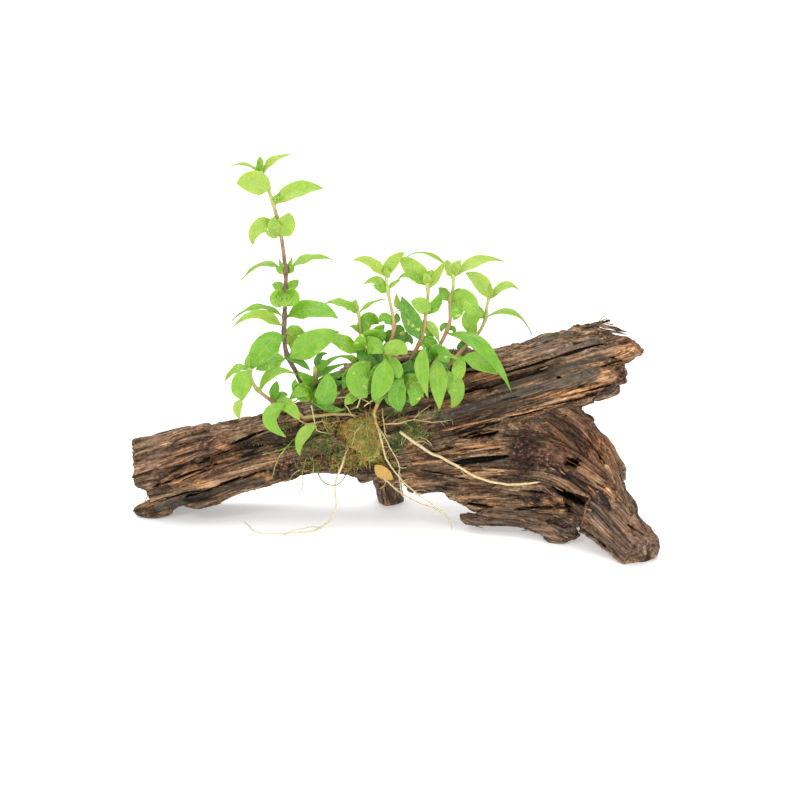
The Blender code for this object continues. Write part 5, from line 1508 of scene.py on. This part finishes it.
# %% Places of the roots
ROOTS = {
    "rhizome": [
        ([(288, 404, 8), (297, 412), (303, 418), (318, 416), (332, 414), (347, 414.5), (357, 416)], 1.0,
          0.85, 0.48),
        ([(292, 406, 7), (299, 420), (306, 425), (314, 427)], 0.75, 0.4, 0.5),
        ([(304, 424), (314, 423), (322, 421), (331, 424)], 0.5, 0.3, 0.4),
        ([(322, 419), (325, 427), (329, 434), (334, 433)], 0.4, 0.2, 0.45),
        ([(311, 405, 3), (314, 418), (317, 430), (329, 434)], 0.42, 0.2, 0.2),
        ([(322, 420), (328, 428), (334, 431)], 0.28, 0.14, 0.3),
        ([(324, 421), (329, 427), (335, 423)], 0.24, 0.12, 0.3),
        ([(345, 405, 5), (350, 412), (356, 420)], 0.34, 0.16, 0.2),
        ([(350, 412), (358, 413), (364, 415)], 0.2, 0.12, 0.2),
        ([(294, 416), (297, 423)], 0.2, 0.1, 0.2),
        ([(327, 415), (325, 425), (322, 431)], 0.3, 0.15, 0.5),
        ([(337, 414), (341, 424), (339, 433)], 0.28, 0.13, 0.6),
        ([(336, 398, 3), (349, 397, 1), (361, 399, 0), (371, 404, 0)], 0.36, 0.3, 0.35),
    ],
    "root_main": [
        ([(382, 396, 3), (378, 403), (374, 413), (376, 423), (379, 431)], 1.15, 0.85, 0.62),
        ([(377, 426), (380, 436), (382.5, 447), (385, 457), (392, 468, 2), (400, 478, 0), (408, 486, -1),
          (415, 492, -1), (424, 499, -2)], 0.75, 0.3, 0.14),
        ([(376, 424), (386, 440), (394, 455), (399, 467, 1), (400, 482, -1), (401, 494, -2),
          (407, 499, -3)], 0.42, 0.2, 0.1),
        ([(382, 408), (383, 420), (385, 434), (388, 437)], 0.42, 0.3, 0.25),
        ([(362, 392, 0), (357, 408, 0)], 0.5, 0.35, 0.15),
        ([(374, 399, 0), (364, 407, 0)], 0.5, 0.35, 0.15),
        ([(366, 411), (366, 421), (369, 430), (377, 431)], 0.36, 0.22, 0.5),
        ([(362, 424), (355, 432), (352, 446)], 0.34, 0.18, 0.1),
        ([(366, 427), (368, 438), (366, 450)], 0.28, 0.14, 0.5),
        ([(371, 405), (369, 416), (372, 425)], 0.36, 0.24, 0.6),
        ([(375, 420), (372, 431), (377, 441), (378, 452)], 0.36, 0.2, 0.8),
        ([(385, 456), (389, 449), (394, 447)], 0.22, 0.12, 0.4),
        ([(394, 452), (399, 449), (403, 450)], 0.2, 0.1, 0.1),
        ([(398, 466, 0), (402, 468, -1), (407, 467, -2)], 0.2, 0.1, 0.1),
        ([(399, 486, -1), (404, 481, -2), (409, 479, -3)], 0.2, 0.1, 0.2),
        ([(405, 483, 0), (401, 488, -1), (395, 489, -2)], 0.22, 0.1, 0.3),
        ([(414, 491, -1), (420, 490, -2), (427, 491, -3)], 0.2, 0.09, 0.3),
    ],
    "root_forked": [
        ([(376, 472), (386, 481, -1), (396, 490, -2), (406, 496, -3), (421, 504, -4), (439, 511, -5),
          (449, 519, -7), (452, 532, -8)], 0.55, 0.16, 0.35),
        ([(424, 499, -3), (436, 507, -4), (446, 515, -6), (454, 531, -7)], 0.3, 0.14, 0.1),
        ([(421, 504, -4), (432, 512, -5), (444, 514, -6)], 0.18, 0.1, 0.1),
        ([(396, 490, -2), (393, 485, -3), (398, 481, -3)], 0.2, 0.1, 0.2),
        ([(386, 481, -1), (383, 486, -2), (379, 489, -3)], 0.2, 0.1, 0.2),
        ([(409, 497, -3), (419, 495, -4), (428, 499, -4)], 0.18, 0.09, 0.1),
        ([(439, 511, -5), (447, 510, -6), (453, 514, -7)], 0.16, 0.08, 0.1),
    ],
    "root_long": [
        ([(400, 432), (407, 437), (415, 443), (424, 449), (431, 453), (440, 457), (450, 462), (464, 470),
          (476, 477), (490, 482), (507, 484.5), (523, 484), (540, 482)], 0.92, 0.58, 0.2),
        ([(410, 440), (420, 437), (427, 440), (432, 446)], 0.3, 0.14, 0.15),
        ([(414, 442), (423, 441), (429, 444)], 0.24, 0.12, 0.15),
        ([(418, 436), (424, 431)], 0.18, 0.1, 0.15),
        ([(420, 446), (426, 443), (433, 447)], 0.22, 0.1, 0.15),
        ([(404, 435), (402, 441), (403, 446)], 0.2, 0.1, 0.15),
        ([(524, 484), (528, 481)], 0.18, 0.1, 0.3),
    ],
    "root_across": [
        ([(384, 424), (390, 424), (399, 423.5), (407, 421), (415, 419.5), (424, 421), (433, 422),
          (443, 421.5), (453, 419.5)], 0.5, 0.2, 0.4),
        ([(389, 423.5), (397, 419), (404, 416)], 0.26, 0.14, 0.5),
        ([(398, 422), (404, 419), (409, 414)], 0.22, 0.12, 0.5),
        ([(414, 419), (421, 412), (431, 405)], 0.3, 0.14, 0.2),
        ([(418, 415), (420, 409)], 0.16, 0.08, 0.2),
        ([(405, 422), (410, 427), (413, 433)], 0.22, 0.1, 0.2),
        ([(387, 425), (384, 430), (387, 433)], 0.26, 0.14, 0.4),
        ([(425, 421), (432, 424)], 0.16, 0.08, 0.2),
        ([(443, 421), (449, 424)], 0.14, 0.08, 0.2),
    ],
    "root_trailing": [
        ([(345, 456), (341, 468, -1), (336, 480, 0), (335, 492, 0), (336, 504, 0), (334, 513, 1),
          (330, 520, 3), (322, 527, "floor"), (309, 531.5, "floor"), (290, 532.5, "floor"),
          (275, 533, "floor"), (258, 532, "floor"), (250, 527, "floor"), (244, 521, "floor")], 0.66, 0.26,
          0.12),
        ([(318, 527, "floor"), (300, 529, "floor"), (282, 534, "floor")], 0.2, 0.12, 0.3),
        ([(345, 456), (348, 449), (346, 443)], 0.4, 0.25, 0.2),
    ],
}
LOOSE_STRANDS = [
    ([(296, 438), (285, 449), (279, 458, 0), (275, 468, -2), (272, 479, -3)], 0.34, 0.18, 0.55),
    ([(262, 455), (274, 452), (286, 448), (298, 446)], 0.34, 0.25, 0.6),
    ([(316, 466), (319, 476, 0), (325, 483, -2), (333, 485, -3), (341, 482, -2), (346, 474, 0)], 0.34, 0.26,
      1.0),
    ([(313, 455), (313.5, 464, -1), (313, 474, -3)], 0.36, 0.26, 0.8),
    ([(306, 458), (303, 472, -1), (302, 484, -2), (299, 496, -3)], 0.26, 0.14, 0.75),
    ([(302, 484, -2), (296, 484, -3), (291, 482, -4)], 0.2, 0.12, 0.4),
    ([(302, 488, -2), (296, 490, -3), (294, 495, -3)], 0.2, 0.12, 0.3),
    ([(300, 470, -1), (292, 476, -3), (287, 485, -4)], 0.2, 0.1, 0.7),
    ([(352, 470), (349, 478, 0), (351, 487, -1)], 0.2, 0.1, 0.7),
    ([(328, 462), (332, 470, 0), (330, 478, -1)], 0.2, 0.1, 0.9),
]
print("strands", sum(len(rows) for rows in ROOTS.values()) + len(LOOSE_STRANDS))

# %% [markdown]
# A root that lies on the wood has to know where the wood is. That needs a search tree of all that
# a root can lie on: the weathered wood and the lump of moss. So the moss comes first. Its lump is
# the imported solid, remeshed and roughened by noise.

# %% Lump of moss
MOSS_SKIN = 0.5 * MM
MOSS_PUFF = 0.3 * MM


def moss_lump():
    """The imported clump, puffed up, remeshed and roughened."""
    lump = merged_copy("moss_clump", "moss_lump")
    modified(lump, "DISPLACE", strength=MOSS_PUFF, mid_level=0.0)
    modified(lump, "REMESH", mode="VOXEL", voxel_size=MOSS_SKIN)
    modified(lump, "SMOOTH", factor=0.5, iterations=6)
    points, normals = points_of(lump.data), points_of(lump.data, "normal")
    swell = 2.0 * drift(points / (4.6 * MM), 90) + 0.8 * drift(points / (1.5 * MM), 91)
    move_points(lump.data, shifted(points + normals * (swell * MM)[:, None], MOSS_SHIFTS))
    return lump


def ground_under(pieces):
    """A search tree of all that roots and moss can lie on."""
    together = bmesh.new()
    for piece in pieces:
        together.from_mesh(piece.data)
    tree = BVHTree.FromBMesh(together)
    together.free()
    return tree


lump = moss_lump()
GROUND = ground_under([*wood_pieces, lump])
print("moss lump", len(lump.data.polygons), "faces")

# %% [markdown]
# A root on the wood is laid there: from the eye each of its places is sent on until it meets the
# wood or the moss, and then the whole root is pulled taut, so that it spans the hollows as a real
# one does. Shrinkwrap could lay a curve on the wood as well, but would press it into every hollow.

# %% Laying a strand
TAUT_ROUNDS = 40
LAY_STEP = 3.0
SUNK = 0.8
FLOOR_CLEAR = 0.15 * MM
STRAND_STEP = 0.6 * MM


def filled(course):
    """More places between two that both lie on the wood, a few pixels apart."""
    made = [course[0]]
    for near, far in zip(course, course[1:]):
        if len(near) == len(far) == 2:
            run = (far[0] - near[0], far[1] - near[1])
            count = max(1, round(math.hypot(*run) / LAY_STEP))
            shares = [k / count for k in range(1, count)]
            made += [(near[0] + run[0] * share, near[1] + run[1] * share) for share in shares]
        made.append(far)
    return made


def laid(course, radius):
    """A strand's points: at their depth, on the floor, or stretched over the wood behind them."""
    places = filled(course)
    lines = [unit(sight_line(*place[:2])) for place in places]
    reach = []
    for place, line in zip(places, lines):
        if place[2:] == ("floor",):
            reach.append((EYE[2] - radius - FLOOR_CLEAR) / -line[2])
        elif len(place) == 3:
            reach.append(np.linalg.norm(seen(*place) - EYE))
        else:
            far = GROUND.ray_cast(Vector(EYE), Vector(line))[3]
            reach.append(reach[-1] if far is None else far - radius * SUNK)
    for _ in range(TAUT_ROUNDS):
        for i in range(1, len(reach) - 1):
            if len(places[i]) == 2:
                reach[i] = min(reach[i], (reach[i - 1] + reach[i + 1]) / 2)
    return [EYE + line * far for line, far in zip(lines, reach)]


def strand(course, thick, thin, seed):
    """A smooth strand along its course, a little crooked, thinning to its tip."""
    line = smooth_line(laid(course, thick * MM), STRAND_STEP)
    share = np.linspace(0, 1, len(line))
    crook = sway(line / (4.5 * MM), seed) * 0.45 + sway(line / (1.8 * MM), seed + 5) * 0.12
    hold = np.minimum(1, np.minimum(share, 1 - share) * 8)[:, None]
    line = line + crook * MM * hold * min(1.0, 0.5 / thick)
    line[:, 2] = np.maximum(line[:, 2], thin * MM)
    radii = (thick + (thin - thick) * share**0.8) * MM
    radii *= 1 + 0.10 * drift(line / (1.6 * MM), seed + 9)
    radii *= 0.25 + 0.75 * (1 - rise(share, 0.965, 1.0))
    return line, radii * 0.82


print("a strand's course of two places has", len(laid([(300, 430), (320, 430)], MM)), "points")

# %% [markdown]
# Every root also bears hair-fine side roots that nobody could list. They start at even chances
# along a strand, lean away from it and droop, and are no longer than a few millimetres. All the
# strands of a root, with their side roots, are made as one curve object with many splines.

# %% Fine side roots
TWIG_SPACING = 6.5
TWIG_LENGTH = (1.5, 5.0)
TWIG_STEPS = 6
TWIG_FOOT = 0.14 * MM
TWIG_TIP = 0.045 * MM


def twigs_on(line, radii, seed, spacing):
    """Hair-fine side roots of a strand, as strands of their own."""
    chance = np.random.default_rng(seed)
    made = []
    length = len(line) * STRAND_STEP / MM
    for _ in range(int(length / spacing)):
        at = chance.integers(2, len(line) - 1)
        ahead = unit(line[at] - line[at - 1])
        aside = unit(np.cross(ahead, chance.normal(size=3)))
        heading = unit(aside * 0.9 + ahead * 0.6 + np.array((0.0, -0.5, -0.1)))
        step = chance.uniform(*TWIG_LENGTH) * MM / TWIG_STEPS
        place, places = line[at], []
        for _ in range(TWIG_STEPS + 1):
            places.append(place)
            place = place + heading * step
            place[2] = max(place[2], 0.1 * MM)
            heading = unit(heading + chance.normal(size=3) * 0.22 + np.array((0.0, 0.0, -0.10)))
        foot = min(radii[at] * 0.5, TWIG_FOOT)
        made.append((np.array(places), np.linspace(foot, TWIG_TIP, TWIG_STEPS + 1)))
    return made


def root_look():
    """Pale to brown by the tone of each strand."""
    look, tree, shader = new_look("root_skin", 0.42, Subsurface_Weight=0.3, Subsurface_Scale=0.8 * MM)
    marks = marks_in(tree, (1300, 1300, 1300), 420.0)
    tone = total(stored(tree, "tone"), swing(marks["Blotch"], 0.8), clamp=True)
    skin = ramp(tone, [(0.0, (0.800, 0.700, 0.430)), (0.28, (0.640, 0.520, 0.240)),
                       (0.60, (0.480, 0.330, 0.085)), (0.85, (0.400, 0.190, 0.045)),
                       (1.0, (0.290, 0.150, 0.045))])
    skin = mixed(ramp(marks["Streak"], [(0.50, 0.0), (0.72, 0.5)]), skin, (0.42, 0.30, 0.14))
    feed(skin, shader.inputs["Base Color"])
    bumped(shader, marks["Height"], 0.35, 0.12 * MM)
    return look


def strands_piece(name, rows, seed):
    """All the strands of one root and their side roots as one mesh, and the tone of each point."""
    drawn, tones = [], []
    for k, (course, thick, thin, tone) in enumerate(rows):
        line, radii = strand(course, thick, thin, seed + 20 * k)
        twigs = twigs_on(line, radii, seed + 20 * k, TWIG_SPACING if thick > 0.3 else TWIG_SPACING * 2)
        drawn += [(line, radii), *twigs]
        tones += [tone] + [tone * 0.7] * len(twigs)
    piece = tubes(name, drawn, 1)
    return piece, np.repeat(tones, [len(points) for points, _ in drawn])[nearest_in(drawn, piece)]


ROOT_LOOK = root_look()
for seed, (name, rows) in enumerate(ROOTS.items()):
    piece, tones = strands_piece(name + "_strands", rows, 1000 + seed * 1000)
    note(piece.data, "tone", tones)
    finished(piece, ROOT_LOOK, [name])
    print(piece.name, len(piece.data.polygons), "faces")

# %% [markdown]
# Moss is a cushion of tiny shoots. Modelling them one by one is out of the question, and hair
# can't be kept as a solid, so one shoot of a few faces is copied to thousands of places on the
# lump and on the wood round it, each with its own lean, length and tone, all in one mesh.

# %% Moss shoots
SHOOT_SIDES = 3
SHOOT_RINGS = (0.35, 0.7)
SHOOT_SWELL = 0.9
bpy.ops.object.select_all(action="DESELECT")
bpy.ops.mesh.primitive_cone_add(vertices=SHOOT_SIDES, radius1=1.0, radius2=0.0, depth=1.0,
                                location=(0, 0, 0.5))
shoot = bpy.context.active_object
bpy.ops.object.mode_set(mode="EDIT")
for height in SHOOT_RINGS:
    bpy.ops.mesh.select_all(action="SELECT")
    bpy.ops.mesh.bisect(plane_co=(0, 0, height), plane_no=(0, 0, 1))
bpy.ops.object.mode_set(mode="OBJECT")
bpy.context.view_layer.update()
shoot.data.transform(shoot.matrix_world)
shoot_points = points_of(shoot.data)
shoot_points[:, :2] *= 1.0 + SHOOT_SWELL * (shoot_points[:, 2:] > 0.2) * (shoot_points[:, 2:] < 0.9)
shoot_faces = [list(face.vertices) for face in shoot.data.polygons]
bpy.data.objects.remove(shoot)
print("moss shoot", len(shoot_faces), "faces")

# Tufts: the middle of each as seen from the front, its reach in pixels, its shoots, how long they
# are in millimetres, and how green it is.
TUFTS = [
    ((363, 438), (17, 20), 1100, 1.5, 0.46), ((362, 430), (12, 10), 240, 1.5, 0.6),
    ((372, 455), (14, 12), 320, 1.4, 0.40), ((345, 432), (8, 9), 300, 1.5, 0.16),
    ((363, 441), (24, 25), 300, 3.1, 0.45), ((347, 460), (18, 11), 160, 3.0, 0.42),
    ((327, 428), (15, 9), 130, 2.7, 0.45), ((370, 418), (16, 8), 120, 2.6, 0.38),
    ((345, 462), (16, 9), 260, 1.3, 0.35), ((398, 441), (9, 10), 260, 1.7, 0.95),
    ((414, 427), (9, 7), 200, 1.6, 0.90), ((395, 411), (12, 6), 200, 1.7, 0.92),
    ((408, 432), (10, 8), 160, 1.5, 0.75), ((422, 434), (9, 6), 110, 1.6, 0.70),
    ((320, 440), (14, 9), 300, 1.9, 0.92), ((335, 448), (14, 10), 220, 1.5, 0.75),
    ((300, 446), (16, 7), 160, 1.8, 0.80), ((310, 464), (16, 8), 170, 1.3, 0.55),
    ((330, 425), (12, 8), 160, 1.3, 0.60), ((388, 462), (8, 10), 130, 1.2, 0.35),
    ((347, 408), (14, 7), 180, 1.5, 0.80), ((318, 408), (12, 6), 120, 1.5, 0.85),
    ((459, 351), (9, 5), 120, 1.7, 0.85), ((430, 414), (12, 4), 90, 1.4, 0.85),
    ((372, 398), (18, 8), 200, 1.6, 0.90), ((405, 402), (16, 7), 160, 1.5, 0.88),
    ((288, 428), (10, 8), 70, 1.2, 0.75), ((250, 440), (24, 9), 50, 0.9, 0.55),
    ((340, 378), (14, 6), 80, 1.6, 0.85), ((470, 470), (30, 14), 40, 0.7, 0.4),
]


print("tufts", len(TUFTS))

# %% The cushion of moss
def moss_shoot(hit, normal, length, chance):
    """The points of one shoot that grows at that place, with its own lean, length and bend."""
    heading = unit(np.array(normal) * 0.8 + chance.normal(size=3) * 0.55 + np.array((0, 0, -0.15)))
    aside = unit(np.cross(heading, chance.normal(size=3)))
    long = length * MM * chance.uniform(0.5, 1.35)
    wide = chance.uniform(0.10, 0.17) * MM
    bend = chance.normal(size=3) * 0.35 + np.array((0, 0, -0.25))
    x, y, up = shoot_points.T[:, :, None]
    return (np.array(hit) - heading * 0.15 * MM + aside * x * wide + np.cross(heading, aside) * y * wide
            + heading * up * long + bend * up**2 * long * 0.7)


def moss_shoots():
    """All the shoots of the tufts as one object."""
    chance = np.random.default_rng(77)
    shapes, greens = [], []
    for (across, down), (wide, tall), count, length, green in TUFTS:
        for _ in range(count):
            angle, out = chance.uniform(0, 2 * math.pi), math.sqrt(chance.uniform())
            line = sight_line(across + wide * out * math.cos(angle), down + tall * out * math.sin(angle))
            hit, normal, _, _ = GROUND.ray_cast(Vector(EYE), Vector(line))
            if hit is not None:
                shapes.append(moss_shoot(hit, normal, length, chance))
                greens.append(np.clip(green + chance.normal() * 0.16, 0, 1))
    made = copies_as_one("moss_shoots", shapes, shoot_faces)
    note(made.data, "green", np.repeat(greens, len(shoot_points)))
    note(made.data, "height", np.tile(shoot_points[:, 2], len(shapes)))
    return made


def moss_look():
    """From rust over yellow to deep green, darker at the foot of a shoot."""
    look, tree, shader = new_look("moss", 0.6, Subsurface_Weight=0.1, Subsurface_Scale=0.8 * MM)
    marks = marks_in(tree, (900, 900, 900), 300.0)
    tone = total(stored(tree, "green"), swing(marks["Blotch"], 1.3), clamp=True)
    colour = ramp(tone, [(0.05, (0.440, 0.190, 0.055)), (0.28, (0.540, 0.360, 0.090)),
                         (0.50, (0.460, 0.430, 0.095)), (0.72, (0.160, 0.240, 0.045)),
                         (1.0, (0.035, 0.130, 0.025))])
    shade = ramp(stored(tree, "height"), [(0.0, 0.45), (0.8, 1.25)])
    feed(dyed(colour, shade), shader.inputs["Base Color"])
    bumped(shader, marks["Height"], 0.6, 0.3 * MM)
    return look


MOSS_LOOK = moss_look()
lump_points = points_of(lump.data)
note(lump.data, "green", 0.38 + 0.25 * drift(lump_points / (2.5 * MM), 95))
note(lump.data, "height", 0.4 + 0.3 * drift(lump_points / (1.3 * MM), 91))
cushion = joined("moss_cushion", [lump, moss_shoots()])
finished(cushion, MOSS_LOOK, ["moss_clump"])
print("moss", len(cushion.data.polygons), "faces")

# %% [markdown]
# Some long strands of green hang loose beside the moss. They are too thin to be solids of their
# own, and they are laid exactly as the roots are, but with the look of the moss.

# %% Loose strands beside the moss
loose, tones = strands_piece("moss_strands", LOOSE_STRANDS, 9000)
note(loose.data, "green", 0.25 + 0.65 * tones)
note_all(loose.data, "height", 0.7)
finished(loose, MOSS_LOOK)
print("loose strands", len(loose.data.polygons), "faces")
